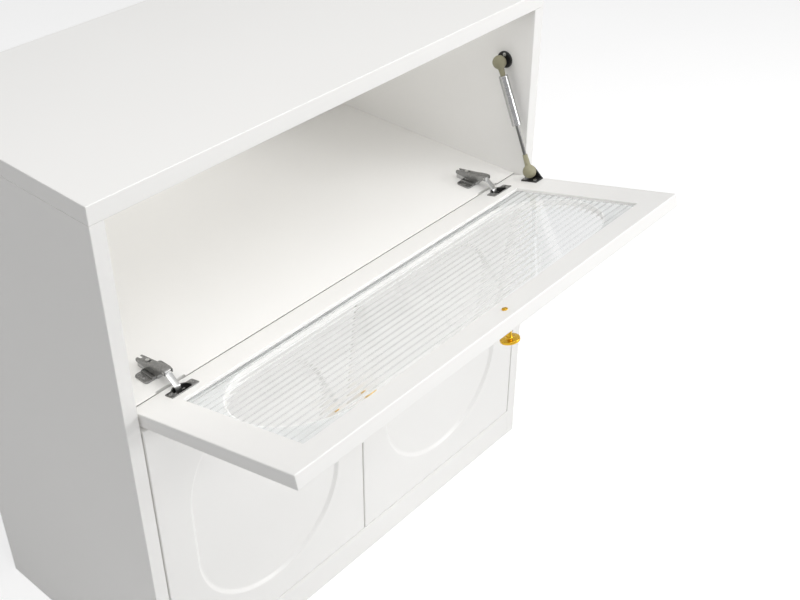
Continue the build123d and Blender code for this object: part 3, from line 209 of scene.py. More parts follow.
def add_turned(shape: Shape, profile: np.ndarray, axes: Axes, segments: int = 56) -> None:
    """Adds a profile turned about the Z of its axes.

    A point (radius, height) goes round the circle of that radius at that height.

    Args:
        shape: Where the surface is added.
        profile: The profile's points, in millimetres.
        axes: Their Z is the line that the profile turns about.
        segments: Number of steps round the circle.
    """
    angle = np.linspace(0, 2 * np.pi, segments, endpoint=False)
    radius, height = profile[:, 0:1], profile[:, 1:2]
    points = np.stack(
        [radius * np.cos(angle), radius * np.sin(angle), height + 0 * angle], axis=-1
    )
    shape.add(axes.place(points), grid_quads(len(profile), segments, False, True))


def add_stack(shape: Shape, rows: list[tuple[np.ndarray, float]], axes: Axes, ring: bool) -> None:
    """Adds closed outlines stacked along the Z of their axes and joined one to the next.

    Args:
        shape: Where the surface is added.
        rows: Each outline's points and its height, in millimetres.
        axes: The outlines lie in their X and Y.
        ring: Whether the last outline joins the first one.
    """
    points = np.stack(
        [np.column_stack([outline, np.full(len(outline), height)]) for outline, height in rows]
    )
    quads = grid_quads(len(rows), points.shape[1], ring, True)
    shape.add(axes.place(points), quads)


def box_outline(
    angle: np.ndarray, low: tuple[float, float], high: tuple[float, float], corner: float
) -> np.ndarray:
    """Outline of a rectangle with rounded corners, seen from the point (0, 0) inside it.

    Along each direction the distance is the nearer of the two sides that face it, and in a
    corner it is the distance to the corner's circle.

    Args:
        angle: Directions, in radians.
        low: Left and lower side.
        high: Right and upper side.
        corner: Radius of the corners.

    Returns:
        One point (x, y) for each direction.
    """
    way = np.column_stack([np.cos(angle), np.sin(angle)])
    side = np.where(way > 0, np.array(high), np.array(low))
    away = np.min(np.abs(side) / np.maximum(np.abs(way), 1e-9), axis=1)
    point = way * away[:, None]
    centre = side - np.sign(side) * corner
    in_corner = np.all((point - centre) * np.sign(side) > 0, axis=1)
    along = np.sum(centre * way, axis=1)
    across = np.sum(centre * centre, axis=1) - along**2
    arc = along + np.sqrt(np.maximum(corner**2 - across, 0))
    return way * np.where(in_corner, arc, away)[:, None]


def pill_outline(angle: np.ndarray, radius: float, reach: float, upright: bool) -> np.ndarray:
    """Outline of a pill: two half circles whose middles are reach away from the centre.

    Along each direction the distance is to the straight side, or past it to the half circle.

    Args:
        angle: Directions, in radians.
        radius: Radius of the half circles.
        reach: Distance of their middles from the centre.
        upright: Whether the pill is longer along Y than along X.

    Returns:
        One point (x, y) for each direction.
    """
    along = np.abs(np.sin(angle) if upright else np.cos(angle))
    across = np.abs(np.cos(angle) if upright else np.sin(angle))
    straight = radius / np.maximum(across, 1e-9)
    arc = reach * along + np.sqrt(np.maximum(radius**2 - (reach * across) ** 2, 0))
    away = np.where(straight * along < reach, straight, arc)
    return np.column_stack([away * np.cos(angle), away * np.sin(angle)])


def ring_angles(count: int, *corners: tuple[float, float]) -> np.ndarray:
    """Directions round a centre, evenly spread, with more of them near the given points.

    Args:
        count: Number of even directions.
        corners: Points near which the outline turns.

    Returns:
        Directions in radians, in order.
    """
    spread = np.linspace(-0.012, 0.012, 9)
    even = np.linspace(-np.pi, np.pi, count, endpoint=False)
    near = [np.arctan2(y, x) + spread for x, y in corners]
    return np.unique(np.round(np.concatenate([even, *near]), 6))


def four_spots(x: float, y: float) -> list[tuple[float, float]]:
    """The four points that lie x and y away from the middle."""
    return [(a * x, b * y) for a in (-1, 1) for b in (-1, 1)]


class Body(Enum):
    """The bodies of the frame that pieces ride on."""

    CABINET = "cabinet"
    FLAP = "flap"
    FLAP_LINKS = "flap_links"
    STRUT_TUBE = "strut_tube_body"
    STRUT_ROD = "strut_rod_body"
    LEFT_DOOR = "left_door"
    RIGHT_DOOR = "right_door"
    LEFT_DOOR_LINKS = "left_door_link_body"
    RIGHT_DOOR_LINKS = "right_door_link_body"


class NodeSheet:
    """A material's nodes, with short calls for the ones that these finishes use."""

    def __init__(self, name: str) -> None:
        """Starts an empty material with its shader and output.

        Args:
            name: The material's name.
        """
        self.material = bpy.data.materials.new(name)
        self.material.use_nodes = True
        self.tree = self.material.node_tree
        self.shader = self.tree.nodes["Principled BSDF"]
        self.place = self.tree.nodes.new("ShaderNodeTexCoord").outputs["Object"]

    def put(self, **values: float | tuple[float, ...]) -> None:
        """Sets sockets of the shader, with underscores for the spaces in their names."""
        for name, value in values.items():
            self.shader.inputs[name.replace("_", " ")].default_value = value

    def stretched(self, scale: tuple[float, float, float]) -> bpy.types.NodeSocket:
        """The place on the piece, scaled along each axis."""
        node = self.tree.nodes.new("ShaderNodeMapping")
        node.inputs["Scale"].default_value = scale
        self.tree.links.new(self.place, node.inputs["Vector"])
        return node.outputs["Vector"]

    def noise(
        self, scale: float, detail: float = 3.0, at: bpy.types.NodeSocket | None = None
    ) -> bpy.types.NodeSocket:
        """Cloudy noise.

        Args:
            scale: Clouds per metre.
            detail: How many finer layers it has.
            at: Where it is read, which is the place on the piece unless given.

        Returns:
            The noise's value, about 0.5 on average.
        """
        node = self.tree.nodes.new("ShaderNodeTexNoise")
        node.inputs["Scale"].default_value = scale
        node.inputs["Detail"].default_value = detail
        self.tree.links.new(at or self.place, node.inputs["Vector"])
        return node.outputs["Fac"]

    def ranged(
        self, value: bpy.types.NodeSocket, low: float, high: float
    ) -> bpy.types.NodeSocket:
        """A noise's middle stretch spread from low to high."""
        node = self.tree.nodes.new("ShaderNodeMapRange")
        node.inputs["From Min"].default_value = 0.25
        node.inputs["From Max"].default_value = 0.75
        node.inputs["To Min"].default_value = low
        node.inputs["To Max"].default_value = high
        self.tree.links.new(value, node.inputs["Value"])
        return node.outputs["Result"]

    def tinted(
        self,
        value: bpy.types.NodeSocket,
        dark: tuple[float, float, float],
        light: tuple[float, float, float],
    ) -> None:
        """Colours the shader between two colours by a value."""
        node = self.tree.nodes.new("ShaderNodeMix")
        node.data_type = "RGBA"
        node.inputs["A"].default_value = (*dark, 1.0)
        node.inputs["B"].default_value = (*light, 1.0)
        self.tree.links.new(self.ranged(value, 0.0, 1.0), node.inputs["Factor"])
        self.tree.links.new(node.outputs["Result"], self.shader.inputs["Base Color"])

    def rough(self, value: bpy.types.NodeSocket, low: float, high: float) -> None:
        """Spreads the shader's roughness from low to high by a value."""
        self.tree.links.new(self.ranged(value, low, high), self.shader.inputs["Roughness"])

    def bumped(self, value: bpy.types.NodeSocket, depth: float) -> None:
        """Raises and lowers the surface's shading by a value, depth metres at most."""
        node = self.tree.nodes.new("ShaderNodeBump")
        node.inputs["Strength"].default_value = 1.0
        node.inputs["Distance"].default_value = depth
        self.tree.links.new(value, node.inputs["Height"])
        self.tree.links.new(node.outputs["Normal"], self.shader.inputs["Normal"])


@dataclass(frozen=True)
class Finish:
    """A surface that varies a little in colour, gloss and height."""

    name: str
    slot: str
    dark: tuple[float, float, float]
    light: tuple[float, float, float]
    cloud: float
    rough_low: float
    rough_high: float
    grain: float
    grain_depth: float
    metal: float = 0.0
    coat: float = 0.0
    stretch: tuple[float, float, float] = (1.0, 1.0, 1.0)

    def make(self) -> bpy.types.Material:
        """Builds the material.

        Colour and roughness follow broad clouds, and a fine noise is the bump. The stretch
        draws the fine noise out into streaks.

        Returns:
            The material.
        """
        sheet = NodeSheet(self.name)
        sheet.put(Metallic=self.metal, Coat_Weight=self.coat, Coat_Roughness=0.12)
        clouds = sheet.noise(self.cloud)
        fine = sheet.noise(self.grain, 2.0, sheet.stretched(self.stretch))
        sheet.tinted(clouds, self.dark, self.light)
        sheet.rough(fine, self.rough_low, self.rough_high)
        sheet.bumped(fine, self.grain_depth)
        return sheet.material


@dataclass(frozen=True)
class ClearGlass:
    """Clear glass with a faint unevenness of its surface and colour."""

    name: str
    slot: str
    ripple: float
    clearest: tuple[float, float, float]
    deepest: tuple[float, float, float]

    def make(self) -> bpy.types.Material:
        """Builds the material: smooth glass whose tint and roughness are a stretched noise.

        Returns:
            The material.
        """
        sheet = NodeSheet(self.name)
        sheet.put(Transmission_Weight=1.0, IOR=1.5)
        ripple = sheet.noise(self.ripple, 1.0, sheet.stretched((0.3, 1.0, 1.0)))
        sheet.tinted(sheet.noise(6.0), self.deepest, self.clearest)
        sheet.rough(ripple, 0.0, 0.01)
        return sheet.material


class Paint(Enum):
    """Every finish of the cabinet."""

    LACQUER = Finish(
        "satin white lacquer", "white_lacquer", (0.872, 0.865, 0.848), (0.888, 0.881, 0.865),
        3.0, 0.34, 0.46, 620.0, 0.000012, coat=0.12,
    )
    BACKING = Finish(
        "white backing board", "white_back", (0.86, 0.853, 0.837), (0.88, 0.873, 0.857),
        3.0, 0.5, 0.62, 900.0, 0.00002,
    )
    NICKEL = Finish(
        "pressed nickel", "nickel_steel", (0.24, 0.24, 0.237), (0.34, 0.34, 0.335),
        320.0, 0.24, 0.4, 2600.0, 0.00001, metal=1.0,
    )
    BRIGHT = Finish(
        "polished link steel", "bright_steel", (0.5, 0.5, 0.495), (0.62, 0.62, 0.61),
        160.0, 0.24, 0.36, 2400.0, 0.000006, metal=1.0,
    )
    # Painted shade: near-black colour for a sheet inside each hinge cup, standing for the shadow in
    # the deep nickel cup.
    CUP_PAINTED_SHADE = Finish(
        "painted cup shade", "nickel_steel", (0.012, 0.012, 0.012), (0.03, 0.03, 0.03),
        90.0, 0.45, 0.6, 2400.0, 0.00001,
    )
    BRASS = Finish(
        "turned gold brass", "gold_brass", (0.74, 0.44, 0.035), (0.84, 0.54, 0.06),
        40.0, 0.12, 0.22, 3000.0, 0.000005, metal=1.0,
    )
    BLACK = Finish(
        "black painted steel", "black_steel", (0.008, 0.008, 0.008), (0.02, 0.02, 0.02),
        80.0, 0.32, 0.48, 1800.0, 0.00002,
    )
    TUBE = Finish(
        "bright strut tube", "tube_steel", (0.46, 0.46, 0.465), (0.54, 0.54, 0.545),
        30.0, 0.16, 0.3, 900.0, 0.000008, metal=1.0, stretch=(1.0, 1.0, 0.04),
    )
    ROD = Finish(
        "ground strut rod", "rod_steel", (0.16, 0.16, 0.158), (0.22, 0.22, 0.215),
        30.0, 0.3, 0.42, 1500.0, 0.000008, metal=1.0,
    )
    OLIVE = Finish(
        "moulded olive plastic", "olive_plastic", (0.27, 0.255, 0.165), (0.33, 0.31, 0.21),
        45.0, 0.4, 0.55, 1500.0, 0.00002,
    )
    SCREW = Finish(
        "zinc plated screw", "screw_steel", (0.5, 0.5, 0.49), (0.62, 0.62, 0.6),
        120.0, 0.25, 0.4, 3000.0, 0.00001, metal=1.0,
    )
    ZINC = Finish(
        "cast zinc fitting", "cast_zinc", (0.5, 0.5, 0.5), (0.6, 0.6, 0.6),
        120.0, 0.35, 0.5, 1600.0, 0.00003, metal=1.0,
    )
    BEECH = Finish(
        "beech dowel", "beech", (0.5, 0.32, 0.16), (0.62, 0.42, 0.23),
        60.0, 0.55, 0.7, 900.0, 0.00004, stretch=(0.1, 1.0, 1.0),
    )
    TAPE = Finish(
        "clear glazing tape", "glazing_tape", (0.63, 0.635, 0.63), (0.69, 0.695, 0.69),
        40.0, 0.4, 0.5, 900.0, 0.00001,
    )
    GLASS = ClearGlass(
        "fluted glass", "fluted_glass", 22.0, (0.985, 0.99, 0.99), (0.965, 0.975, 0.975)
    )


class PaintShop:
    """Makes each finish once and hands it out."""

    def __init__(self) -> None:
        """Starts with no material made."""
        self.made: dict[Paint, bpy.types.Material] = {}

    def get(self, paint: Paint) -> bpy.types.Material:
        """The material of a finish."""
        if paint not in self.made:
            self.made[paint] = paint.value.make()
        return self.made[paint]


SHOP = PaintShop()


def closed_mesh(name: str, shape: Shape, sharp: float = 32.0) -> bpy.types.Object:
    """An object whose mesh is a shape's surface, with its seams and poles merged.

    Args:
        name: The object's name.
        shape: Its points and faces.
        sharp: Edges that turn more than this, in degrees, are drawn sharp.

    Returns:
        The object, at the origin.
    """
    mesh = bpy.data.meshes.new(name)
    faces = [tuple(face) for faces in shape.faces for face in faces.tolist()]
    mesh.from_pydata(np.concatenate(shape.points).tolist(), [], faces)
    work = bmesh.new()
    work.from_mesh(mesh)
    bmesh.ops.remove_doubles(work, verts=work.verts, dist=2e-6)
    bmesh.ops.recalc_face_normals(work, faces=work.faces)
    work.to_mesh(mesh)
    work.free()
    mesh.shade_smooth()
    mesh.set_sharp_from_angle(angle=np.radians(sharp))
    piece = bpy.data.objects.new(name, mesh)
    bpy.context.scene.collection.objects.link(piece)
    return piece


def carve(piece: bpy.types.Object, cutters: list[bpy.types.Object], sharp: float = 32.0) -> None:
    """Cuts the cutters out of a piece and removes them.

    Args:
        piece: The piece, whose mesh is replaced by the cut one.
        cutters: Closed meshes.
        sharp: Edges that turn more than this, in degrees, are drawn sharp.
    """
    for cutter in cutters:
        cut = piece.modifiers.new("cut", "BOOLEAN")
        cut.operation = "DIFFERENCE"
        cut.solver = "MANIFOLD"
        cut.object = cutter
    settle(piece, sharp)
    for cutter in cutters:
        bpy.data.objects.remove(cutter)


def settle(piece: bpy.types.Object, sharp: float = 32.0) -> None:
    """Makes a piece's modifiers part of its mesh.

    Args:
        piece: The piece.
        sharp: Edges that turn more than this, in degrees, are drawn sharp.
    """
    bpy.context.view_layer.update()
    view = bpy.context.evaluated_depsgraph_get()
    mesh = bpy.data.meshes.new_from_object(piece.evaluated_get(view))
    piece.modifiers.clear()
    piece.data = mesh
    mesh.shade_smooth()
    mesh.set_sharp_from_angle(angle=np.radians(sharp))


def dress(piece: bpy.types.Object, paint: Paint, body: Body, *nodes: str) -> bpy.types.Object:
    """Gives a piece its finish, its body and the CAD nodes that it stands for.

    Args:
        piece: The piece.
        paint: Its finish.
        body: The body that it rides on.
        nodes: The nodes that it replaces.

    Returns:
        The piece.
    """
    piece.data.materials.clear()
    piece.data.materials.append(SHOP.get(paint))
    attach(piece, body.value)
    if nodes:
        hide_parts(*nodes)
    LOG.info("%s: %d faces, rides on %s", piece.name, len(piece.data.polygons), body.value)
    return piece


def paint_node(name: str, paint: Paint) -> None:
    """Gives a CAD node that stays in sight its finish."""
    node = frame["nodes"][name]
    for place in node.material_slots:
        place.material = SHOP.get(paint)
    LOG.info("%s: keeps its shape, %s", name, paint.value.name)


def rod_cutter(axes: Axes, radius: float, low: float, high: float) -> bpy.types.Object:
    """A plain round rod to cut with, along the Z of its axes from low to high."""
    shape = Shape()
    add_turned(shape, np.array([(0, low), (radius, low), (radius, high), (0, high)]), axes, 48)
    return closed_mesh("cutter", shape)


def prism_cutter(axes: Axes, outline: np.ndarray, low: float, high: float) -> bpy.types.Object:
    """A solid to cut with, which keeps one outline along Z from low to high."""
    rows = [(0 * outline, low), (outline, low), (outline, high), (0 * outline, high)]
    shape = Shape()
    add_stack(shape, rows, axes, False)
    return closed_mesh("cutter", shape)


def pocket_cutter(
    axes: Axes, radius: float, front: float, low: float, high: float
) -> bpy.types.Object:
    """A cutting solid: a circle of the radius whose Y goes no further than the front."""
    angle = np.linspace(0, 2 * np.pi, 96, endpoint=False)
    ring = radius * np.column_stack([np.cos(angle), np.sin(angle)])
    return prism_cutter(axes, ring / np.maximum(ring[:, 1:] / front, 1.0), low, high)


def slot_cutter(
    axes: Axes, length: float, width: float, corner: float, low: float, high: float
) -> bpy.types.Object:
    """A block with rounded upright corners to cut with.

    Args:
        axes: The block's middle; it stands along Z.
        length: Length along X.
        width: Width along Y.
        corner: Radius of its upright corners.
        low: Height at which it starts.
        high: Height at which it ends.

    Returns:
        The closed block.
    """
    half = (0.5 * length, 0.5 * width)
    centre = (half[0] - 0.5 * corner, half[1] - 0.5 * corner)
    angle = ring_angles(48, centre, (-centre[0], centre[1]), (centre[0], -centre[1]))
    return prism_cutter(axes, box_outline(angle, (-half[0], -half[1]), half, corner), low, high)


@dataclass(frozen=True)
class Leaf:
    """A flap or a door: where its inner face is, and its size in millimetres.

    A narrow band beside each rounded edge keeps the flat faces flat where they are shaded.
    """

    axes: Axes
    width: float
    height: float
    thickness: float
    edge: float = 1.5
    band: float = 1.0
    least_corner: float = 0.05

    def corners(self, middle: float) -> list[tuple[float, float]]:
        """Its corners, seen from the point of its middle line at that height."""
        sides = (-0.5 * self.width, 0.5 * self.width)
        return [(x, y) for x in sides for y in (-middle, self.height - middle)]

    def outline(self, angle: np.ndarray, middle: float, inset: float) -> np.ndarray:
        """Its outline round that point, moved in."""
        low = (-0.5 * self.width + inset, -middle + inset)
        high = (0.5 * self.width - inset, self.height - middle - inset)
        return box_outline(angle, low, high, max(self.edge - inset, self.least_corner))

    def edge_rows(self, angle: np.ndarray, middle: float) -> list[tuple[np.ndarray, float]]:
        """Outlines that go from the inner face round both rounded edges to the outer face.

        On a rounded edge the outline is moved in by the radius times 1 - sin t and lies the
        radius times 1 - cos t below the face, where t goes from 0 to a quarter turn.

        Args:
            angle: Directions of the outlines' points.
            middle: Height of the point that they go round.

        Returns:
            Each outline and its height.
        """
        rows = [(self.outline(angle, middle, self.edge + self.band), 0.0)]
        for turn in np.radians(np.linspace(0, 90, 6)):
            inset = self.edge * (1 - np.sin(turn))
            rows.append((self.outline(angle, middle, inset), self.edge * (1 - np.cos(turn))))
        rows.append((self.outline(angle, middle, 0), self.edge + self.band))
        return rows + [(outline, self.thickness - height) for outline, height in rows[::-1]]


@dataclass(frozen=True)
class Cabinet:
    """Places that the whole cabinet shares, worked out from the frame."""

    leaf_thickness: float = 20.0
    flap_pivot_depth: float = 6.65
    flap_pivot_rise: float = 9.66
    flap_height: float = 292.5

    @property
    def front(self) -> float:
        """Y of the front of the closed leaves, in metres."""
        return float(node_box("left_side_panel")[0][1])

    @property
    def floor_top(self) -> float:
        """Height of the compartment floor, in metres."""
        return float(node_box("compartment_floor")[1][2])

    @property
    def half_width(self) -> float:
        """Half of the clear width between the side panels, in metres."""
        return float(node_box("compartment_floor")[1][0])

    def flap_swing(self) -> float:
        """How far the flap has opened at rest, in radians."""
        return abs(np.radians(joint("flap_hinge")["range_deg"][0]))

    def flap(self) -> Leaf:
        """The open flap.

        Its closed inner corner turns about the hinge line by the swing. X is the cabinet's,
        Y runs from the hinge edge to the free edge and Z points out of the outer face.
        """
        swing = self.flap_swing()
        across = np.array([0.0, -np.sin(swing), np.cos(swing)])
        outward = np.array([0.0, -np.cos(swing), -np.sin(swing)])
        pivot = joint_place("flap_hinge")
        back = self.leaf_thickness - self.flap_pivot_depth
        origin = pivot - MM * back * outward - MM * self.flap_pivot_rise * across
        width = float(np.ptp(np.array(node_box("flap_frame"))[:, 0])) / MM
        axes = Axes(origin, RIGHT, across, outward)
        return Leaf(axes, width, self.flap_height, self.leaf_thickness)

    def door(self, side: str) -> Leaf:
        """A closed door, with Y up from its lower edge and Z out of its front."""
        low, high = node_box(f"{side}_door_panel")
        origin = np.array([0.5 * (low[0] + high[0]), high[1], low[2]])
        size = (high - low) / MM
        return Leaf(Axes(origin, RIGHT, UP, -BACK), size[0], size[2], size[1])


@dataclass(frozen=True)
class Boards:
    """The fixed boards and the fittings inside them, which keep their CAD shapes."""

    lacquered: tuple[str, ...] = (
        "left_side_panel", "right_side_panel", "top_board", "compartment_floor", "bottom_board",
        "plinth_board", "middle_support", "rear_top_rail", "adjustable_shelf",
    )
    zinc: tuple[str, ...] = ("cam_locks", "cam_bolts", "shelf_pins")
    screws: tuple[str, ...] = ("back_panel_screws",)

    def build(self) -> None:
        """Gives each board and fitting its finish."""
        for name in self.lacquered:
            paint_node(name, Paint.LACQUER)
        paint_node("back_panel", Paint.BACKING)
        for name in self.zinc:
            paint_node(name, Paint.ZINC)
        for name in self.screws:
            paint_node(name, Paint.SCREW)
        paint_node("dowels", Paint.BEECH)


@dataclass(frozen=True)
class MouldedDoor:
    """A door whose front has a pill-shaped recess with a softly moulded edge."""

    side: str
    leaf: Leaf
    body: Body
    side_margin: float = 51.0
    lower_margin: float = 51.0
    upper_margin: float = 40.0
    depth: float = 4.5
    slope: float = 7.0
    steps: int = 14
    cup_radius: float = 17.5
    cup_bore: float = 13.1
    cup_from_edge: float = 22.0
    hinge_inset: float = 90.0
    knob_from_edge: float = 27.05
    knob_drop: float = 229.25
    screw_radius: float = 2.0

    def outward(self) -> int:
        """The sign of X on the hinge side."""
        return -1 if self.side == "left" else 1

    def cup_spots(self) -> list[tuple[float, float]]:
        """Middles of the two hinge cups."""
        x = self.outward() * (0.5 * self.leaf.width - self.cup_from_edge)
        return [(x, self.hinge_inset), (x, self.leaf.height - self.hinge_inset)]

    def knob_spot(self) -> tuple[float, float]:
        """Where the knob stands."""
        x = -self.outward() * (0.5 * self.leaf.width - self.knob_from_edge)
        return (x, self.leaf.height - self.knob_drop)

    def build(self) -> bpy.types.Object:
        """Makes the panel.

        Outlines round the recess's middle go from it over the front, round the edge and to
        the middle of the back. Across the moulded edge the depth is the recess's times
        3s2 - 2s3, where s runs from 0 at the outside of the slope to 1 at its foot.

        Returns:
            The panel.
        """
        leaf = self.leaf
        radius = 0.5 * leaf.width - self.side_margin
        length = leaf.height - self.lower_margin - self.upper_margin
        reach = 0.5 * length - radius
        middle = self.lower_margin + 0.5 * length
        angle = ring_angles(220, *leaf.corners(middle))

        def recess(inset: float) -> np.ndarray:
            """The recess's outline, moved in."""
            return pill_outline(angle, radius - inset, reach, True)

        top = leaf.thickness
        share = np.linspace(1, 0, self.steps + 1)
        drop = self.depth * (3 * share**2 - 2 * share**3)
        rows = [(0 * recess(0), top - self.depth)]
        rows.append((recess(self.slope + leaf.band), top - self.depth))
        rows += [(recess(self.slope * s), top - d) for s, d in zip(share, drop)]
        rows.append((recess(-leaf.band), top))
        rows += leaf.edge_rows(angle, middle)[::-1]
        rows.append((0 * recess(0), 0.0))
        shape = Shape()
        add_stack(shape, rows, leaf.axes.at(y=middle), False)
        piece = closed_mesh(f"{self.side}_moulded_door", shape)
        cutters = [
            rod_cutter(leaf.axes.at(x, y), self.cup_radius, -1, self.cup_bore)
            for x, y in self.cup_spots()
        ]
        x, y = self.knob_spot()
        cutters.append(rod_cutter(leaf.axes.at(x, y), self.screw_radius, -1, leaf.thickness + 1))
        carve(piece, cutters)
        return dress(piece, Paint.LACQUER, self.body, f"{self.side}_door_panel")


@dataclass(frozen=True)
class FlapFrame:
    """The flap's frame: a board with a rebate for the pane and a pill-shaped opening."""

    leaf: Leaf
    side_margin: float = 47.0
    hinge_margin: float = 43.5
    free_margin: float = 35.6
    seat_depth: float = 8.0
    ledge: float = 8.0
    end_ledge: float = 5.5
    opening_round: float = 2.5
    rebate_corner: float = 0.6
    rebate_round: float = 0.5
    hem: float = 0.3
    cup_radius: float = 13.2
    cup_front: float = 8.6
    cup_bore: float = 12.3
    cup_from_edge: float = 21.3
    hinge_inset: float = 63.5
    knob_from_edge: float = 17.5
    screw_radius: float = 2.0

    def cup_spots(self) -> list[tuple[float, float]]:
        """Middles of the two hinge cups."""
        x = 0.5 * self.leaf.width - self.hinge_inset
        return [(-x, self.cup_from_edge), (x, self.cup_from_edge)]

    def knob_spot(self) -> tuple[float, float]:
        """Where the knob stands."""
        return (0.0, self.leaf.height - self.knob_from_edge)

    def middle(self) -> float:
        """Distance of the opening's middle from the hinge edge."""
        return 0.5 * (self.hinge_margin + self.leaf.height - self.free_margin)

    def rebate(self) -> tuple[float, float]:
        """Half of the rebate's width and of its height."""
        return (0.5 * self.leaf.width - self.side_margin, self.middle() - self.hinge_margin)

    def build(self) -> bpy.types.Object:
        """Makes the frame.

        Outlines round the opening's middle go once round the section of the frame: inner
        face, edge, outer face, opening, seat and rebate.

        Returns:
            The frame.
        """
        leaf = self.leaf
        middle = self.middle()
        half = self.rebate()
        radius = half[1] - self.ledge
        reach = half[0] - self.end_ledge - radius
        angle = ring_angles(240, *leaf.corners(middle), *four_spots(*half))

        def rebate(outset: float) -> np.ndarray:
            """The rebate's outline, moved out."""
            size = (half[0] + outset, half[1] + outset)
            return box_outline(angle, (-size[0], -size[1]), size, self.rebate_corner)

        def opening(outset: float) -> np.ndarray:
            """The opening's outline, moved out."""
            return pill_outline(angle, radius + outset, reach, False)

        top, seat, lip, hem, soft = (
            leaf.thickness, self.seat_depth, self.opening_round, self.hem, self.rebate_round
        )
        turn = np.radians(np.linspace(0, 90, 6))
        rows = leaf.edge_rows(angle, middle)
        rows.append((opening(lip + leaf.band), top))
        rows += [(opening(lip * (1 - np.sin(t))), top - lip * (1 - np.cos(t))) for t in turn]
        rows += [(opening(0), top - lip - 0.5), (opening(0), seat + hem), (opening(0), seat)]
        rows += [(opening(hem), seat), (rebate(-hem), seat), (rebate(0), seat)]
        rows += [(rebate(0), seat - hem), (rebate(0), soft), (rebate(0.3 * soft), 0.3 * soft)]
        rows += [(rebate(soft), 0.0), (rebate(soft + 0.7), 0.0)]
        shape = Shape()
        add_stack(shape, rows, leaf.axes.at(y=middle), True)
        piece = closed_mesh("flap_board", shape)
        cutters = [
            pocket_cutter(leaf.axes.at(x, y), self.cup_radius, self.cup_front, -1, self.cup_bore)
            for x, y in self.cup_spots()
        ]
        x, y = self.knob_spot()
        cutters.append(rod_cutter(leaf.axes.at(x, y), self.screw_radius, -1, top + 1))
        carve(piece, cutters)
        return dress(piece, Paint.LACQUER, Body.FLAP, "flap_frame")


@dataclass(frozen=True)
class FlutedPane:
    """The flap's pane: clear glass with rounded ribs along the flap on its outer side."""

    board: FlapFrame
    side_gap: float = 0.8
    face: float = 3.7
    rise: float = 0.3
    back: float = 7.5
    pitch: float = 12.0
    border: float = 5.0
    steps: int = 24

    def build(self) -> bpy.types.Object:
        """Makes the pane.

        Across a rib the outer surface is a cosine wave: it lies half the rise times one minus
        the cosine of the place in the rib, as a whole turn from crest to crest, inside the crest.
        The profile goes along the flap between two flat borders, with flat ends.

        Returns:
            The pane.
        """
        half = self.board.rebate()
        reach = half[0] - self.side_gap
        low = -half[1] + self.side_gap
        high = half[1] - self.side_gap
        inner = (low + self.border, high - self.border)
        count = round((inner[1] - inner[0]) / self.pitch)
        y = np.linspace(inner[0], inner[1], count * self.steps + 1)
        turn = 2 * np.pi * count * (y - inner[0]) / (inner[1] - inner[0])
        ribbed = self.back - self.rise / 2 * (1 - np.cos(turn))
        y = np.concatenate([[low], y, [high]])
        ribbed = np.concatenate([[self.back], ribbed, [self.back]])
        face = np.column_stack([y, np.full(len(y), self.face)])
        outline = np.concatenate([face, np.column_stack([y, ribbed])[::-1]])
        x = np.linspace(-reach, reach, 9)
        points = np.empty((len(x), len(outline), 3))
        points[..., 0] = x[:, None]
        points[..., 1:] = outline
        shape = Shape()
        axes = self.board.leaf.axes.at(y=self.board.middle())
        shape.add(axes.place(points), grid_quads(len(x), len(outline), False, True))
        first = np.arange(len(y) - 1)
        last = len(outline) - 1 - first
        caps = np.stack([first, first + 1, last - 1, last], axis=-1)
        shape.add(axes.place(points[0]), caps)
        shape.add(axes.place(points[-1]), caps)
        piece = closed_mesh("fluted_pane", shape, 25.0)
        piece.visible_shadow = False
        return dress(piece, Paint.GLASS, Body.FLAP, "flap_fluted_glass")


@dataclass(frozen=True)
class Knob:
    """A turned knob: a thin disc on a slim stem, and the slotted screw that holds it."""

    name: str
    leaf: Leaf
    spot: tuple[float, float]
    body: Body
    node: str
    disc_radius: float = 13.0
    disc_thickness: float = 4.0
    stem_radius: float = 4.0
    stem_length: float = 20.0
    bore_radius: float = 2.0
    bore_depth: float = 12.0
    head_radius: float = 4.0
    head_height: float = 1.8
    hollow: float = 2.2
    rim_width: float = 3.2
    dish_slope: float = 0.8
    dish_depth: float = 0.5
    shank_gap: float = 0.05
    slot_width: float = 1.0
    slot_floor: float = 0.9

    def build(self) -> None:
        """Makes the knob and its screw."""
        outer = self.leaf.axes.at(*self.spot, self.leaf.thickness)
        base = self.stem_length
        face = base + self.disc_thickness
        dish = face - self.dish_depth
        bore, stem, disc = self.bore_radius, self.stem_radius, self.disc_radius
        rim = disc - self.rim_width
        profile = rounded_line(
            [
                (0, self.bore_depth, 0), (bore, self.bore_depth, 0), (bore, 0, 0), (stem, 0, 0.3),
                (stem, base - 0.4, self.hollow), (disc, base, 0.8), (disc, face, 0.9),
                (rim, face - 0.1, 0.5), (rim - self.dish_slope, dish, 0.5), (0, dish, 0),
            ],
            6,
        )
        shape = Shape()
        add_turned(shape, profile, outer, 96)
        turning = closed_mesh(f"{self.name}_knob_turning", shape)
        dress(turning, Paint.BRASS, self.body, f"{self.node}_knob")
        inner = self.leaf.axes.at(*self.spot).facing_back()
        end = -self.leaf.thickness - self.bore_depth + 0.5
        shank = bore - self.shank_gap
        head, top = self.head_radius, self.head_height
        screw = rounded_line(
            [
                (0, end, 0), (shank, end, 0), (shank, 0, 0), (head, 0, 0.2),
                (head, 0.7 * top, 0.5), (0.5 * head, top, 2.0), (0, top, 0),
            ],
            6,
        )
        shape = Shape()
        add_turned(shape, screw, inner, 64)
        piece = closed_mesh(f"{self.name}_knob_slotted_screw", shape)
        slot = slot_cutter(inner, 2 * head + 1, self.slot_width, 0.1, self.slot_floor, top + 1)
        carve(piece, [slot])
        dress(piece, Paint.BRASS, self.body, f"{self.node}_knob_screw")


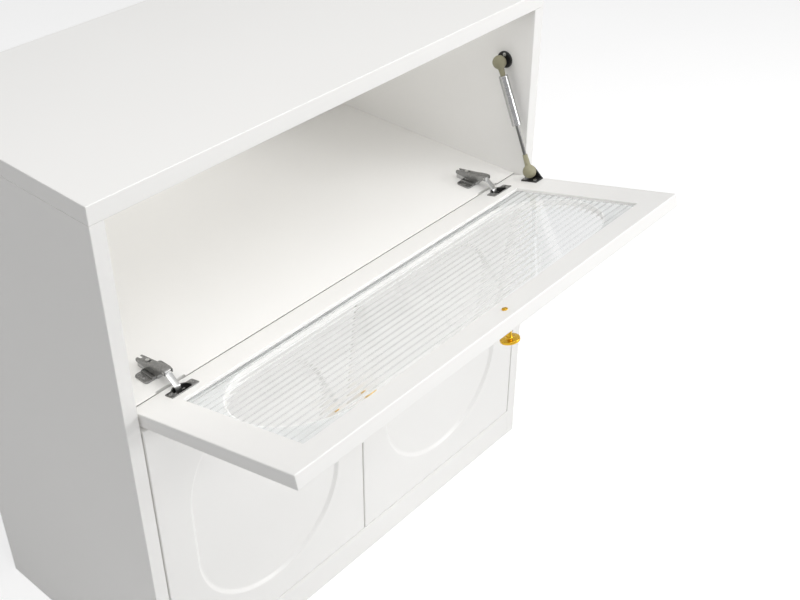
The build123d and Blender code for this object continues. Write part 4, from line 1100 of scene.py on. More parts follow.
@dataclass(frozen=True)
class CrossScrews:
    """Small pan-head screws with a cross recess."""

    head_radius: float = 2.8
    head_height: float = 1.2
    dome_share: float = 0.55
    shank_radius: float = 1.55
    point: float = 1.5
    cross_depth: float = 0.75
    cross_slope: float = 0.28
    cross_floor: float = 1.8
    cross_reach: float = 1.85
    cross_fade: float = 0.5
    rings: int = 15
    segments: int = 48

    def add(self, shape: Shape, axes: Axes, length: float) -> None:
        """Adds one screw whose head sits on the XY plane of its axes.

        The head is a low dome whose rim is lower by a share times (r/R)4, and the cross is a
        groove that is deep where both the distance from one of its lines and from the middle
        are small.

        Args:
            shape: Where the screw is added.
            axes: Its seat, with Z out of the surface.
            length: Length of the shank.
        """
        radius = np.linspace(0, self.head_radius, self.rings)[:, None]
        angle = np.linspace(0, 2 * np.pi, self.segments, endpoint=False)
        x, y = radius * np.cos(angle), radius * np.sin(angle)
        fall = self.dome_share * (radius / self.head_radius) ** 4
        dome = self.head_height * (1 - fall) + 0 * angle
        line = np.minimum(np.abs(x), np.abs(y))
        groove = np.clip(self.cross_floor - line / self.cross_slope, 0, 1)
        groove = groove * np.clip((self.cross_reach - radius) / self.cross_fade, 0, 1)
        points = np.stack([x, y, dome - self.cross_depth * groove], axis=-1)
        shape.add(axes.place(points), grid_quads(self.rings, self.segments, False, True))
        skirt = np.array(
            [
                (self.head_radius, (1 - self.dome_share) * self.head_height),
                (self.head_radius, 0),
                (self.shank_radius, 0),
                (self.shank_radius, -length + self.point),
                (0, -length),
            ]
        )
        add_turned(shape, skirt, axes, self.segments)


def screw_piece(
    name: str, seats: list[Axes], length: float, paint: Paint, body: Body, *nodes: str
) -> bpy.types.Object:
    """One object with a screw at each seat."""
    shape = Shape()
    for seat in seats:
        CrossScrews().add(shape, seat, length)
    return dress(closed_mesh(name, shape), paint, body, *nodes)


@dataclass(frozen=True)
class HingeSize:
    """Sizes of one kind of concealed hinge, in millimetres."""

    arm_angle: float
    cup_reach: float
    cup_knee: tuple[float, float]
    arm_knee: tuple[float, float]
    pin_radius: float
    link_width: float
    link_thickness: float
    eye_radius: float
    arm_width: float
    tail_width: float
    arm_wall: float
    nose_flat: float
    foot_depth: float
    foot_height: float
    end_depth: float
    end_height: float
    heel_depth: float
    plate_start: float
    plate_length: float
    plate_span: float
    plate_thickness: float
    block_start: float
    block_height: float
    screw_spacing: float
    fixing_depth: float
    cup_radius: float
    cup_wall: float
    cup_depth: float
    cup_base: float
    flange_length: float
    flange_width: float
    flange_thickness: float
    cup_screw_spacing: float
    nose_gap: float = 0.4


FLAP_HINGE = HingeSize(
    arm_angle=58.9, cup_reach=8.03, cup_knee=(2.23, 7.04), arm_knee=(-2.0, -3.7),
    pin_radius=0.75, link_width=9.2, link_thickness=1.8, eye_radius=1.7,
    arm_width=13.0, tail_width=11.0, arm_wall=1.2, nose_flat=4.0,
    foot_depth=79.0, foot_height=12.7, end_depth=80.0, end_height=12.5, heel_depth=42.0,
    plate_start=41.8, plate_length=24.7, plate_span=42.0, plate_thickness=2.2,
    block_start=40.0, block_height=8.0, screw_spacing=31.0, fixing_depth=63.0,
    cup_radius=12.5, cup_wall=0.7, cup_depth=11.3, cup_base=1.0,
    flange_length=42.8, flange_width=16.0, flange_thickness=1.0, cup_screw_spacing=34.0,
)
DOOR_HINGE = HingeSize(
    arm_angle=54.78, cup_reach=8.26, cup_knee=(-4.43, 5.32), arm_knee=(0.05, -5.6),
    pin_radius=0.65, link_width=8.8, link_thickness=1.6, eye_radius=1.75,
    arm_width=14.0, tail_width=12.0, arm_wall=1.3, nose_flat=5.0,
    foot_depth=50.0, foot_height=15.0, end_depth=90.0, end_height=13.0, heel_depth=46.0,
    plate_start=46.0, plate_length=38.0, plate_span=44.0, plate_thickness=2.5,
    block_start=44.0, block_height=9.0, screw_spacing=32.0, fixing_depth=74.0,
    cup_radius=16.0, cup_wall=1.5, cup_depth=12.3, cup_base=0.8,
    flange_length=60.0, flange_width=17.0, flange_thickness=1.0, cup_screw_spacing=45.0,
)


@dataclass(frozen=True)
class ConcealedHinge:
    """A concealed hinge: arm on its mounting plate, link, and cup in the leaf.

    Its section has X as the depth behind the front and Y as the height above the board.
    """

    name: str
    size: HingeSize
    section: Axes
    arm_pin: tuple[float, float]
    cup_pin: tuple[float, float]
    cup_axes: Axes
    along_x: bool
    fixed_body: Body
    leaf_body: Body
    link_body: Body
    fixed_node: str
    leaf_node: str
    pad_margin: float = 4.2
    pad_rise: float = 1.7
    rim_height: float = 0.7
    screw_hole: float = 1.7
    shoulder: float = 1.6
    waist_start: float = 12.0
    waist_length: float = 10.0
    rivet_radius: float = 1.5
    rivet_head: float = 0.35
    tail_slot: tuple[float, float, float] = (14.0, 4.4, 2.1)
    bridge_slot: tuple[float, float, float] = (2.6, 5.0, 0.8)
    bridge_gap: float = 5.0
    wing_slot: tuple[float, float, float] = (2.6, 1.9, 0.9)
    wing_slot_share: float = 0.29
    dimple: tuple[float, float, float] = (1.3, 3.4, 0.6)
    dimple_share: float = 0.27
    dimple_inset: float = 2.1
    dimple_depth: float = 0.9
    cup_ledge: float = 1.6
    cup_front_gap: float = 1.0
    # Gap and wall of the near-black sheet of painted shade inside the cup.
    shade_sheet_gap: float = 0.06
    shade_sheet_wall: float = 0.24
    cup_screw_length: float = 12.0
    plate_screw_length: float = 11.0
    arm_screw_length: float = 6.0

    def board_axes(self, depth: float) -> Axes:
        """Axes on the board at a depth: Y goes backwards, Z out of the board."""
        x, y, z = self.section.z, self.section.x, self.section.y
        x = x * np.sign(np.dot(np.cross(x, y), z))
        return Axes(self.section.origin, x, y, z).at(y=depth)

    def rounded_block(
        self,
        part: str,
        axes: Axes,
        half: tuple[float, float],
        corner: float,
        spread: float,
        section: np.ndarray,
        count: int = 96,
        least: float = 0.3,
    ) -> bpy.types.Object:
        """A block whose sides follow a section.

        Outlines of a rounded rectangle, moved in by the section's first value, are stacked at
        its second value and closed at both ends.

        Args:
            part: Last word of the piece's name.
            axes: Axes at the block's middle.
            half: Half of its length along X and along Y.
            corner: Radius of its upright corners.
            spread: How far inside the corners the outline's points gather.
            section: How far in and how high each outline is.
            count: Number of even directions of the outlines' points.
            least: Least radius of the corners.

        Returns:
            The block.
        """
        angle = ring_angles(count, *four_spots(half[0] - spread, half[1] - spread))
        rows = []
        for inset, height in section:
            size_in = (half[0] - inset, half[1] - inset)
            turn = max(corner - inset, least)
            rows.append((box_outline(angle, (-size_in[0], -size_in[1]), size_in, turn), height))
        rows = [(0 * rows[0][0], section[0][1]), *rows, (0 * rows[0][0], section[-1][1])]
        shape = Shape()
        add_stack(shape, rows, axes, False)
        return closed_mesh(f"{self.name}_{part}", shape)

    def roof(self) -> np.ndarray:
        """Middle line of the arm's roof, from the nose to the tail."""
        size = self.size
        nose = self.arm_pin[0] - size.eye_radius - size.nose_gap - 0.5 * size.arm_wall
        top = self.arm_pin[1] + size.eye_radius + size.nose_gap + size.arm_wall
        return rounded_line(
            [
                (nose, top - 0.6, 0),
                (nose + 1.2, top, 1.5),
                (self.arm_pin[0] + size.nose_flat, top, 8.0),
                (size.foot_depth, size.foot_height, 4.0),
                (size.end_depth, size.end_height, 0),
            ],
            8,
        )

    def build_arm(self) -> bpy.types.Object:
        """Makes the pressed arm.

        A channel section, made of two cheeks and a roof with rounded shoulders, is carried
        along the roof's line. Its width falls from the nose's to the tail's by 3s2 - 2s3 in
        the waist, and each cheek ends on a line from the nose down to the plate.

        Returns:
            The arm.
        """
        size = self.size
        line = self.roof()
        steps = np.concatenate([[0], np.cumsum(np.linalg.norm(np.diff(line, axis=0), axis=1))])
        along = np.linspace(0, steps[-1], 90)
        depth = np.interp(along, steps, line[:, 0])
        height = np.interp(along, steps, line[:, 1])
        waist = np.clip((depth - self.arm_pin[0] - self.waist_start) / self.waist_length, 0, 1)
        narrowed = (size.tail_width - size.arm_width) * (3 * waist**2 - 2 * waist**3)
        half = 0.5 * (size.arm_width + narrowed)
        nose = self.arm_pin[0] + size.nose_flat
        heel = [nose, size.heel_depth, size.heel_depth + 8, size.end_depth]
        nose_bottom = self.arm_pin[1] - size.eye_radius - size.nose_gap - size.arm_wall
        low = size.plate_thickness + self.pad_rise + 0.1
        hem = np.interp(depth, heel, [nose_bottom, low, low + 1.2, size.end_height - 4.6])
        shoulder = self.shoulder
        turn = np.radians(np.linspace(0, 90, 6))
        inner = half - shoulder
        across = [-half] * 3 + [-(inner + shoulder * np.cos(a)) for a in turn[1:]]
        lift = [hem, 0.5 * (hem + height - shoulder), height - shoulder]
        lift += [height - shoulder * (1 - np.sin(a)) for a in turn[1:]]
        across = np.array(across + [0 * half] + [-a for a in across[::-1]])
        lift = np.array(lift + [height] + lift[::-1])
        points = np.stack([np.broadcast_to(depth, across.shape), lift, across], axis=-1)
        shape = Shape()
        shape.add(self.section.place(points), grid_quads(len(across), len(depth), False, False))
        piece = closed_mesh(f"{self.name}_arm", shape)
        wall = piece.modifiers.new("wall", "SOLIDIFY")
        wall.thickness = size.arm_wall * MM
        wall.offset = self.inward(piece)
        wall.use_even_offset = True
        settle(piece)
        self.cut_arm(piece)
        return dress(piece, Paint.NICKEL, self.fixed_body, f"{self.fixed_node}_arms")

    def inward(self, piece: bpy.types.Object) -> float:
        """Which way Solidify goes so that the wall is inside the channel."""
        upward = self.section.y
        faces = piece.data.polygons
        top = max(faces, key=lambda face: float(np.dot(np.array(face.center), upward)))
        return -1.0 if float(np.dot(np.array(top.normal), upward)) > 0 else 1.0

    def roof_axes(self, depth: float) -> Axes:
        """Axes on the roof at a depth, with X along the arm and Z out of it."""
        line = self.roof()
        height = float(np.interp(depth, line[:, 0], line[:, 1]))
        ahead = float(np.interp(depth + 0.5, line[:, 0], line[:, 1]))
        run = unit(0.5 * self.section.x + (ahead - height) * self.section.y)
        origin = self.section.place(np.array([depth, height, 0.0]))
        out = np.cross(run, self.section.z)
        side = np.sign(np.dot(out, self.section.y))
        return Axes(origin, run, side * self.section.z, side * out)

    def cut_arm(self, piece: bpy.types.Object) -> None:
        """Cuts the tail's open slot and the bridge slot beside the fixing screw."""
        bridge_depth = self.size.fixing_depth - self.bridge_gap
        slots = ((self.size.end_depth, self.tail_slot), (bridge_depth, self.bridge_slot))
        carve(piece, [slot_cutter(self.roof_axes(depth), *slot, -4, 4) for depth, slot in slots])

    def build_plate(self) -> bpy.types.Object:
        """Makes the mounting plate.

        Outlines of a rounded rectangle are stacked into a plate with a raised, rounded rim,
        and a second stack is the block that the arm straddles.

        Returns:
            The plate.
        """
        size = self.size
        axes = self.board_axes(size.plate_start + 0.5 * size.plate_length)
        half = (0.5 * size.plate_span, 0.5 * size.plate_length)
        corner = 0.2 * size.plate_length
        thickness, web = size.plate_thickness, size.plate_thickness - self.rim_height
        section = rounded_line(
            [
                (1.0, 0, 0), (0, 0, 0.2), (0, thickness, 0.8), (1.5, thickness, 0.6),
                (2.1, web, 0.5), (4.0, web, 0),
            ],
            5,
        )
        piece = self.rounded_block("plate", axes, half, corner, 0.3 * corner, section, 160, 0.4)
        cutters = []
        for side in (-1, 1):
            x = side * 0.5 * size.screw_spacing
            cutters.append(rod_cutter(axes.at(x=x), self.screw_hole, -1, 4))
            for row in (-1, 1):
                spot = axes.at(x, row * self.wing_slot_share * size.plate_length)
                cutters.append(slot_cutter(spot, *self.wing_slot, -1, 4))
        carve(piece, cutters)
        dress(piece, Paint.NICKEL, self.fixed_body, f"{self.fixed_node}_plates")
        self.build_pad(axes)
        self.build_block()
        return piece

    def build_pad(self, axes: Axes) -> bpy.types.Object:
        """Makes the raised pad between the wings, with rounded sides and four dimples.

        Args:
            axes: Axes at the middle of the plate, with X along its span.

        Returns:
            The pad.
        """
        size = self.size
        half = (0.5 * size.arm_width + self.pad_margin, 0.5 * size.plate_length - 0.4)
        low, high = size.plate_thickness - 0.75, size.plate_thickness + self.pad_rise
        section = rounded_line([(0.5, low, 0), (0, low, 0.1), (0.3, high, 0.7), (2.2, high, 0)], 5)
        piece = self.rounded_block("pad", axes, half, 1.6, 0.0, section)
        spots = four_spots(half[0] - self.dimple_inset, self.dimple_share * size.plate_length)
        floor = high - self.dimple_depth
        carve(piece, [slot_cutter(axes.at(*spot), *self.dimple, floor, high + 1) for spot in spots])
        return dress(piece, Paint.NICKEL, self.fixed_body)

    def build_block(self) -> bpy.types.Object:
        """Makes the block in the arm, with a rounded top.

        Returns:
            The block.
        """
        size = self.size
        length = size.end_depth - size.block_start
        width = size.tail_width - 2 * size.arm_wall - 0.4
        axes = self.board_axes(size.block_start + 0.5 * length)
        top = size.block_height
        section = rounded_line([(0.5, 0.1, 0), (0, 0.1, 0.1), (0, top, 0.8), (1.6, top, 0)], 4)
        half = (0.5 * width, 0.5 * length)
        piece = self.rounded_block("block", axes, half, 1.2, 0.0, section)
        return dress(piece, Paint.ZINC, self.fixed_body)

    def build_link(self) -> bpy.types.Object:
        """Makes the link: a strap rolled round both pins.

        Its middle line goes most of the way round the cup pin, along the bends and most of
        the way round the arm pin. The strap is carried across it, with thicker rounded sides.

        Returns:
            The link.
        """
        size = self.size
        roll = size.eye_radius - 0.5 * size.link_thickness * 0.62
        cup, arm = np.array(self.cup_pin), np.array(self.arm_pin)
        cup_knee = cup + np.array(size.cup_knee)
        arm_knee = arm + np.array(size.arm_knee)
        way_cup = unit(cup_knee - cup)
        way_arm = unit(arm_knee - arm)
        side_cup = np.array([-way_cup[1], way_cup[0]])
        side_arm = np.array([-way_arm[1], way_arm[0]])
        turn = np.radians(np.linspace(300, 0, 28))[:, None]
        first = cup + roll * (np.cos(turn) * side_cup - np.sin(turn) * way_cup)
        last = arm - roll * (np.cos(turn[::-1]) * side_arm * -1 + np.sin(turn[::-1]) * way_arm)
        knees = rounded_line(
            [(*first[-1], 0), (*cup_knee, 1.6), (*arm_knee, 1.6), (*last[0], 0)], 6
        )
        line = np.concatenate([first, knees[1:-1], last])
        lengths = np.concatenate([[0], np.cumsum(np.linalg.norm(np.diff(line, axis=0), axis=1))])
        even = np.linspace(0, lengths[-1], 120)
        line = np.column_stack([np.interp(even, lengths, line[:, k]) for k in (0, 1)])
        run = np.gradient(line, axis=0)
        run /= np.linalg.norm(run, axis=1)[:, None]
        normal = np.column_stack([-run[:, 1], run[:, 0]])
        thick = 0.31 * size.link_thickness
        half = 0.5 * size.link_width
        section = rounded_line(
            [
                (-half + 1, -thick, 0), (half, -thick, 0.3), (half, thick, 0.3),
                (-half, thick, 0.3), (-half, -thick, 0.3), (-half + 1, -thick, 0),
            ],
            3,
        )[:-1]
        points = np.empty((len(line), len(section), 3))
        points[..., :2] = line[:, None, :] + section[None, :, 1:2] * normal[:, None, :]
        points[..., 2] = section[None, :, 0]
        shape = Shape()
        shape.add(self.section.place(points), grid_quads(len(line), len(section), False, True))
        for row in (0, len(line) - 1):
            end = points[row]
            middle = np.broadcast_to(end.mean(axis=0), end.shape)
            cap = np.stack([end, middle])
            shape.add(self.section.place(cap), grid_quads(2, len(section), False, True))
        piece = closed_mesh(f"{self.name}_link", shape)
        return dress(piece, Paint.BRIGHT, self.link_body, f"{self.leaf_node}_links")

    def build_cup(self) -> None:
        """Makes the cup's shell with its flange, a near-black sheet of painted shade inside the
        cup, and its screws.
        """
        size = self.size
        axes = self.cup_axes
        if not self.along_x:
            axes = Axes(axes.origin, axes.y, -axes.x, axes.z)
        inward = axes.origin - self.section.at(*self.cup_pin).origin
        if np.dot(axes.y, inward) < 0:
            axes = Axes(axes.origin, -axes.x, -axes.y, axes.z)
        bottom = size.cup_depth + size.cup_base
        outer = size.cup_radius + size.cup_wall
        half = (0.5 * size.flange_length, 0.5 * size.flange_width)
        corner = 0.15 * size.flange_width
        angle = ring_angles(200, *four_spots(half[0] - 0.3 * corner, half[1] - 0.3 * corner))
        rim = outer + 0.2
        circle = np.column_stack([np.cos(angle), np.sin(angle)])
        front = half[1] + self.cup_front_gap

        def clipped(ring: np.ndarray, inset: float) -> np.ndarray:
            """An outline drawn in towards the middle so that none of it passes the front."""
            over = np.maximum(ring[:, 1] / (front - inset), 1.0)
            return ring / over[:, None]

        def outline(inset: float) -> np.ndarray:
            """The flange's outline with the cup's round rim behind it, moved in."""
            size_in = (half[0] - inset, half[1] - inset)
            top_right = (size_in[0], front - inset)
            low_left = (-size_in[0], -size_in[1])
            bar = box_outline(angle, low_left, top_right, max(corner - inset, 0.4))
            away = np.linalg.norm(bar, axis=1)
            return clipped(circle * np.maximum(away, rim - inset)[:, None], inset)

        lift = size.flange_thickness
        section = rounded_line(
            [(1.0, 0, 0), (0, 0, 0.15), (0, -lift, 0.45), (1.6, -lift, 0)], 4
        )
        rows = [(clipped(outer * circle, 0.4), bottom), (clipped(outer * circle, 0.4), 0.0)]
        rows += [(outline(inset), height) for inset, height in section]
        mouth, floor = size.cup_radius, size.cup_depth
        lip = rounded_line(
            [(mouth + 1.2, -lift, 0), (mouth, -lift, 0.5), (mouth, 0.5, 0), (mouth, floor, 0)], 4
        )
        rows += [(clipped(radius * circle, self.cup_ledge), height) for radius, height in lip]
        rows = [(0 * circle, bottom)] + rows + [(0 * circle, floor)]
        shape = Shape()
        add_stack(shape, rows, axes, False)
        piece = closed_mesh(f"{self.name}_cup", shape)
        spots = [axes.at(x=side * 0.5 * size.cup_screw_spacing) for side in (-1, 1)]
        carve(piece, [rod_cutter(spot, self.screw_hole, -lift - 1, 0.5) for spot in spots])
        dress(piece, Paint.NICKEL, self.leaf_body, f"{self.leaf_node}_cups")
        # A thin near-black shell just inside the cup's wall and floor: painted shade for the cup's
        # dark hollow.
        outside, inside = mouth - self.shade_sheet_gap, mouth - self.shade_sheet_gap - 0.3
        under, over = floor - self.shade_sheet_gap, floor - self.shade_sheet_gap - self.shade_sheet_wall
        shade_sheet = rounded_line(
            [
                (outside, 0.3, 0), (outside, under, 1.5), (0, under, 0), (0, over, 0),
                (inside, over, 1.3), (inside, 0.3, 0), (outside, 0.3, 0),
            ],
            4,
        )
        ledge = self.cup_ledge + self.shade_sheet_gap
        shape = Shape()
        add_stack(shape, [(clipped(r * circle, ledge), h) for r, h in shade_sheet], axes, False)
        dress(closed_mesh(f"{self.name}_cup_shade_sheet", shape), Paint.CUP_PAINTED_SHADE, self.leaf_body)
        seats = [spot.at(z=-lift).facing_back() for spot in spots]
        screw_piece(
            f"{self.name}_cup_screws", seats, self.cup_screw_length, Paint.NICKEL,
            self.leaf_body, f"{self.leaf_node}_cup_screws",
        )

    def build_pins(self) -> None:
        """Makes the arm pin with its rivet heads, and the cup pin."""
        size = self.size
        half = 0.5 * size.arm_width
        head, end = self.rivet_radius, half + self.rivet_head
        side = half - 0.05
        profile = rounded_line(
            [
                (0, -end, 0), (head, -end, 0.3), (head, -side, 0),
                (size.pin_radius, -side, 0), (size.pin_radius, side, 0),
                (head, side, 0), (head, end, 0.3), (0, end, 0),
            ],
            4,
        )
        shape = Shape()
        add_turned(shape, profile, self.section.at(*self.arm_pin), 32)
        piece = closed_mesh(f"{self.name}_rivet", shape)
        dress(piece, Paint.SCREW, self.fixed_body, f"{self.fixed_node}_arm_pins")
        cup = self.section.at(*self.cup_pin)
        across = self.cup_axes.y if self.along_x else self.cup_axes.x
        apart = np.dot(cup.origin - self.cup_axes.origin, across) / MM
        reach = float(np.sqrt(size.cup_radius**2 - apart**2)) + 0.2 * size.cup_wall
        radius = size.pin_radius
        profile = np.array([(0, -reach), (radius, -reach), (radius, reach), (0, reach)])
        shape = Shape()
        add_turned(shape, profile, cup, 32)
        piece = closed_mesh(f"{self.name}_cup_pin", shape)
        dress(piece, Paint.SCREW, self.leaf_body, f"{self.leaf_node}_cup_pins")

    def build_fixings(self) -> None:
        """Makes the plate's screws and the screw that holds the arm."""
        size = self.size
        axes = self.board_axes(size.plate_start + 0.5 * size.plate_length)
        web = size.plate_thickness - self.rim_height
        seats = [axes.at(side * 0.5 * size.screw_spacing, 0, web) for side in (-1, 1)]
        screw_piece(
            f"{self.name}_plate_screws", seats, self.plate_screw_length, Paint.NICKEL,
            self.fixed_body, f"{self.fixed_node}_plate_screws",
        )
        screw_piece(
            f"{self.name}_arm_screw", [self.roof_axes(size.fixing_depth)],
            self.arm_screw_length, Paint.SCREW, self.fixed_body, f"{self.fixed_node}_arm_screws",
        )

    def build(self) -> None:
        """Makes every piece of the hinge."""
        self.build_arm()
        self.build_plate()
        self.build_link()
        self.build_cup()
        self.build_pins()
        self.build_fixings()


@dataclass(frozen=True)
class HingeSet:
    """The two hinges of the flap and the four of the doors."""

    cabinet: Cabinet
    board: FlapFrame
    doors: tuple[MouldedDoor, ...]

    def build(self) -> None:
        """Works out each hinge's place from the frame and makes it."""
        swing = np.degrees(self.cabinet.flap_swing())
        front, floor_top = self.cabinet.front, self.cabinet.floor_top
        pivot = joint_place("flap_hinge")
        link = joint_place("flap_link_hinge")
        turn = np.radians(FLAP_HINGE.arm_angle + 0.5 * swing)
        leaf = self.board.leaf
        for side, (x, y) in zip(("left", "right"), self.board.cup_spots()):
            section = Axes(np.array([x * MM, front, floor_top]), BACK, UP, RIGHT)
            cup = (
                (pivot[1] - front) / MM + FLAP_HINGE.cup_reach * np.cos(turn),
                (pivot[2] - floor_top) / MM + FLAP_HINGE.cup_reach * np.sin(turn),
            )
            arm = ((link[1] - front) / MM, (link[2] - floor_top) / MM)
            ConcealedHinge(
                f"flap_{side}", FLAP_HINGE, section, arm, cup, leaf.axes.at(x, y), True,
                Body.CABINET, Body.FLAP, Body.FLAP_LINKS, "flap_hinge", "flap_hinge",
            ).build()
        for door in self.doors:
            self.build_door_hinges(door)

    def build_door_hinges(self, door: MouldedDoor) -> None:
        """Makes the two hinges of a door."""
        sign = door.outward()
        link_body = Body.LEFT_DOOR_LINKS if door.side == "left" else Body.RIGHT_DOOR_LINKS
        pivot = joint_place(f"{door.side}_door_hinge")
        link = joint_place(f"{door.side}_door_link_hinge")
        swing = joint(f"{door.side}_door_hinge")["range_deg"][1]
        turn = np.radians(DOOR_HINGE.arm_angle - 0.5 * swing)
        wall = sign * self.cabinet.half_width
        front = self.cabinet.front
        cup = (
            (pivot[1] - front) / MM + DOOR_HINGE.cup_reach * np.cos(turn),
            sign * (wall - pivot[0]) / MM + DOOR_HINGE.cup_reach * np.sin(turn),
        )
        arm = ((link[1] - front) / MM, sign * (wall - link[0]) / MM)
        for level, (x, y) in zip(("lower", "upper"), door.cup_spots()):
            height = door.leaf.axes.place(np.array([x, y, 0.0]))[2]
            origin = np.array([wall, front, height])
            section = Axes(origin, BACK, -sign * RIGHT, sign * UP)
            ConcealedHinge(
                f"{door.side}_door_{level}", DOOR_HINGE, section, arm, cup,
                door.leaf.axes.at(x, y), False, Body.CABINET, door.body, link_body,
                "door_hinge", f"{door.side}_door_hinge",
            ).build()


@dataclass(frozen=True)
class LidStrut:
    """The lid strut: wall plate, socket and tube above, rod, socket and bracket below."""

    cabinet: Cabinet
    ball_radius: float = 4.0
    stud_radius: float = 2.2
    socket_radius: float = 10.5
    socket_side: float = 6.0
    cavity_radius: float = 4.3
    mouth_radius: float = 2.8
    neck_thick: float = 4.6
    neck_thin: float = 3.75
    top_neck: float = 20.7
    foot_neck: float = 28.0
    bore_start: float = 14.0
    spigot_radius: float = 3.8
    tube_radius: float = 7.0
    tube_wall: float = 0.4
    tube_reach: float = 96.4
    rod_radius: float = 2.6
    rod_start: float = 50.0
    plate_radius: float = 13.0
    plate_thickness: float = 3.0
    screw_offset: float = 8.5
    screw_hole: float = 1.7

    def upper(self) -> np.ndarray:
        """Middle of the upper ball."""
        return joint_place("strut_top_hinge")

    def lower(self) -> np.ndarray:
        """Middle of the lower ball."""
        return joint_place("strut_foot_hinge")

    def build_wall_plate(self) -> None:
        """Makes the wall disc with its stud and ball, and its screws."""
        wall = self.cabinet.half_width
        reach = (wall - self.upper()[0]) / MM
        axes = axes_along(np.array([wall, *self.upper()[1:]]), -RIGHT, UP)
        shoulder = reach - float(np.sqrt(self.ball_radius**2 - self.stud_radius**2))
        start = np.arcsin(self.stud_radius / self.ball_radius)
        angle = start + np.linspace(0, 1, 14) * (np.pi - start)
        ball = self.ball_radius * np.column_stack([np.sin(angle), -np.cos(angle)]) + [0, reach]
        radius, face = self.plate_radius, self.plate_thickness
        dish = face - 0.5
        disc = rounded_line(
            [
                (0, 0, 0), (radius, 0, 0), (radius, face, 1.4), (radius - 2.5, face, 0.4),
                (radius - 3.2, dish, 0.4), (self.stud_radius + 1.6, dish, 0.3),
                (self.stud_radius, face + 1.2, 0.8), (self.stud_radius, shoulder, 0),
            ],
            5,
        )
        shape = Shape()
        add_turned(shape, np.concatenate([disc[:-1], ball]), axes, 72)
        piece = closed_mesh("strut_wall_disc", shape)
        seats = [axes.at(x=side * self.screw_offset) for side in (-1, 1)]
        carve(piece, [rod_cutter(seat, self.screw_hole, -1, 4) for seat in seats])
        dress(piece, Paint.BLACK, Body.CABINET, "strut_wall_plate")
        seats = [seat.at(z=dish) for seat in seats]
        screw_piece(
            "strut_wall_disc_screws", seats, 11.0, Paint.SCREW, Body.CABINET, "strut_wall_screws"
        )

    def socket(
        self, name: str, centre: np.ndarray, run: np.ndarray, neck: float, bore: float,
        body: Body, node: str,
    ) -> None:
        """Makes a ball socket with its neck.

        A ball runs with a hollow curve into a tapering neck, all turned about the strut. The
        wall side is cut flat, and the ball's cavity and mouth are cut out.

        Args:
            name: The piece's name.
            centre: Middle of the ball.
            run: Direction of the neck.
            neck: Where the neck ends.
            bore: Radius of the hole in the neck's end, or 0 for a spigot instead.
            body: The body that it rides on.
            node: The CAD node that it replaces.
        """
        axes = axes_along(centre, run, RIGHT)
        radius, thick = self.socket_radius, self.neck_thick
        meet = float(np.sqrt(radius**2 - thick**2))
        angle = np.linspace(0, np.pi - np.arcsin((thick + 1.0) / radius), 26)
        ball = radius * np.column_stack([np.sin(angle), -np.cos(angle)])
        end = neck if bore else neck + 2.0
        ending = [(self.neck_thin, end, 0.4)]
        start = self.bore_start
        ending += [(bore, end, 0), (bore, start, 0), (0, start, 0)] if bore else [(0, end, 0)]
        hollow = rounded_line([(*ball[-1], 0), (thick, meet + 1.2, 2.0), *ending], 6)
        shape = Shape()
        add_turned(shape, np.concatenate([ball[:-1], hollow]), axes, 72)
        piece = closed_mesh(name, shape)
        side = axes_along(centre, RIGHT, run)
        block = slot_cutter(side, 60, 60, 1, self.socket_side, 20)
        turn = np.linspace(0, np.pi, 20)
        cavity = Shape()
        ball = self.cavity_radius * np.column_stack([np.sin(turn), -np.cos(turn)])
        add_turned(cavity, ball, side, 40)
        hole = rod_cutter(side, self.mouth_radius, 0, self.socket_side + 1)
        carve(piece, [block, closed_mesh("cutter", cavity), hole])
        dress(piece, Paint.OLIVE, body, node)

    def build_tube(self) -> None:
        """Makes the upper socket, the tube and the gland at its end."""
        run = self.lower() - self.upper()
        self.socket(
            "strut_upper_socket", self.upper(), run, self.top_neck, 0.0,
            Body.STRUT_TUBE, "strut_top_socket",
        )
        axes = axes_along(self.upper(), run, RIGHT)
        start, floor = self.top_neck, self.top_neck + 2
        outer, inner, core = self.tube_radius, self.tube_radius - self.tube_wall, self.spigot_radius
        profile = rounded_line(
            [
                (core, floor, 0), (core, start, 0), (outer - 0.2, start, 0.8),
                (outer, start + 1.6, 0.4), (outer, self.tube_reach, 0),
                (inner, self.tube_reach, 0), (inner, floor, 0), (core, floor, 0),
            ],
            5,
        )
        shape = Shape()
        add_turned(shape, profile, axes, 80)
        dress(closed_mesh("strut_tube_barrel", shape), Paint.TUBE, Body.STRUT_TUBE, "strut_tube")
        paint_node("strut_tube_gland", Paint.TUBE)

    def build_rod(self) -> None:
        """Makes the rod and the lower socket."""
        run = self.upper() - self.lower()
        self.socket(
            "strut_lower_socket", self.lower(), run, self.foot_neck, self.rod_radius,
            Body.STRUT_ROD, "strut_bottom_socket",
        )
        axes = axes_along(self.lower(), run, RIGHT)
        start = self.bore_start + 0.1
        end = float(np.linalg.norm(run)) / MM - self.rod_start
        radius = self.rod_radius - 0.02
        corners = [(0, start, 0), (radius, start, 0), (radius, end, 0.6), (0, end, 0)]
        profile = rounded_line(corners, 4)
        shape = Shape()
        add_turned(shape, profile, axes, 48)
        dress(closed_mesh("strut_ground_rod", shape), Paint.ROD, Body.STRUT_ROD, "strut_rod")

    def build_bracket(self) -> None:
        """Gives the flap's bracket and its screws their finish."""
        paint_node("strut_flap_bracket", Paint.BLACK)
        paint_node("strut_bracket_screws", Paint.SCREW)

    def build(self) -> None:
        """Makes every piece of the strut."""
        self.build_wall_plate()
        self.build_tube()
        self.build_rod()
        self.build_bracket()


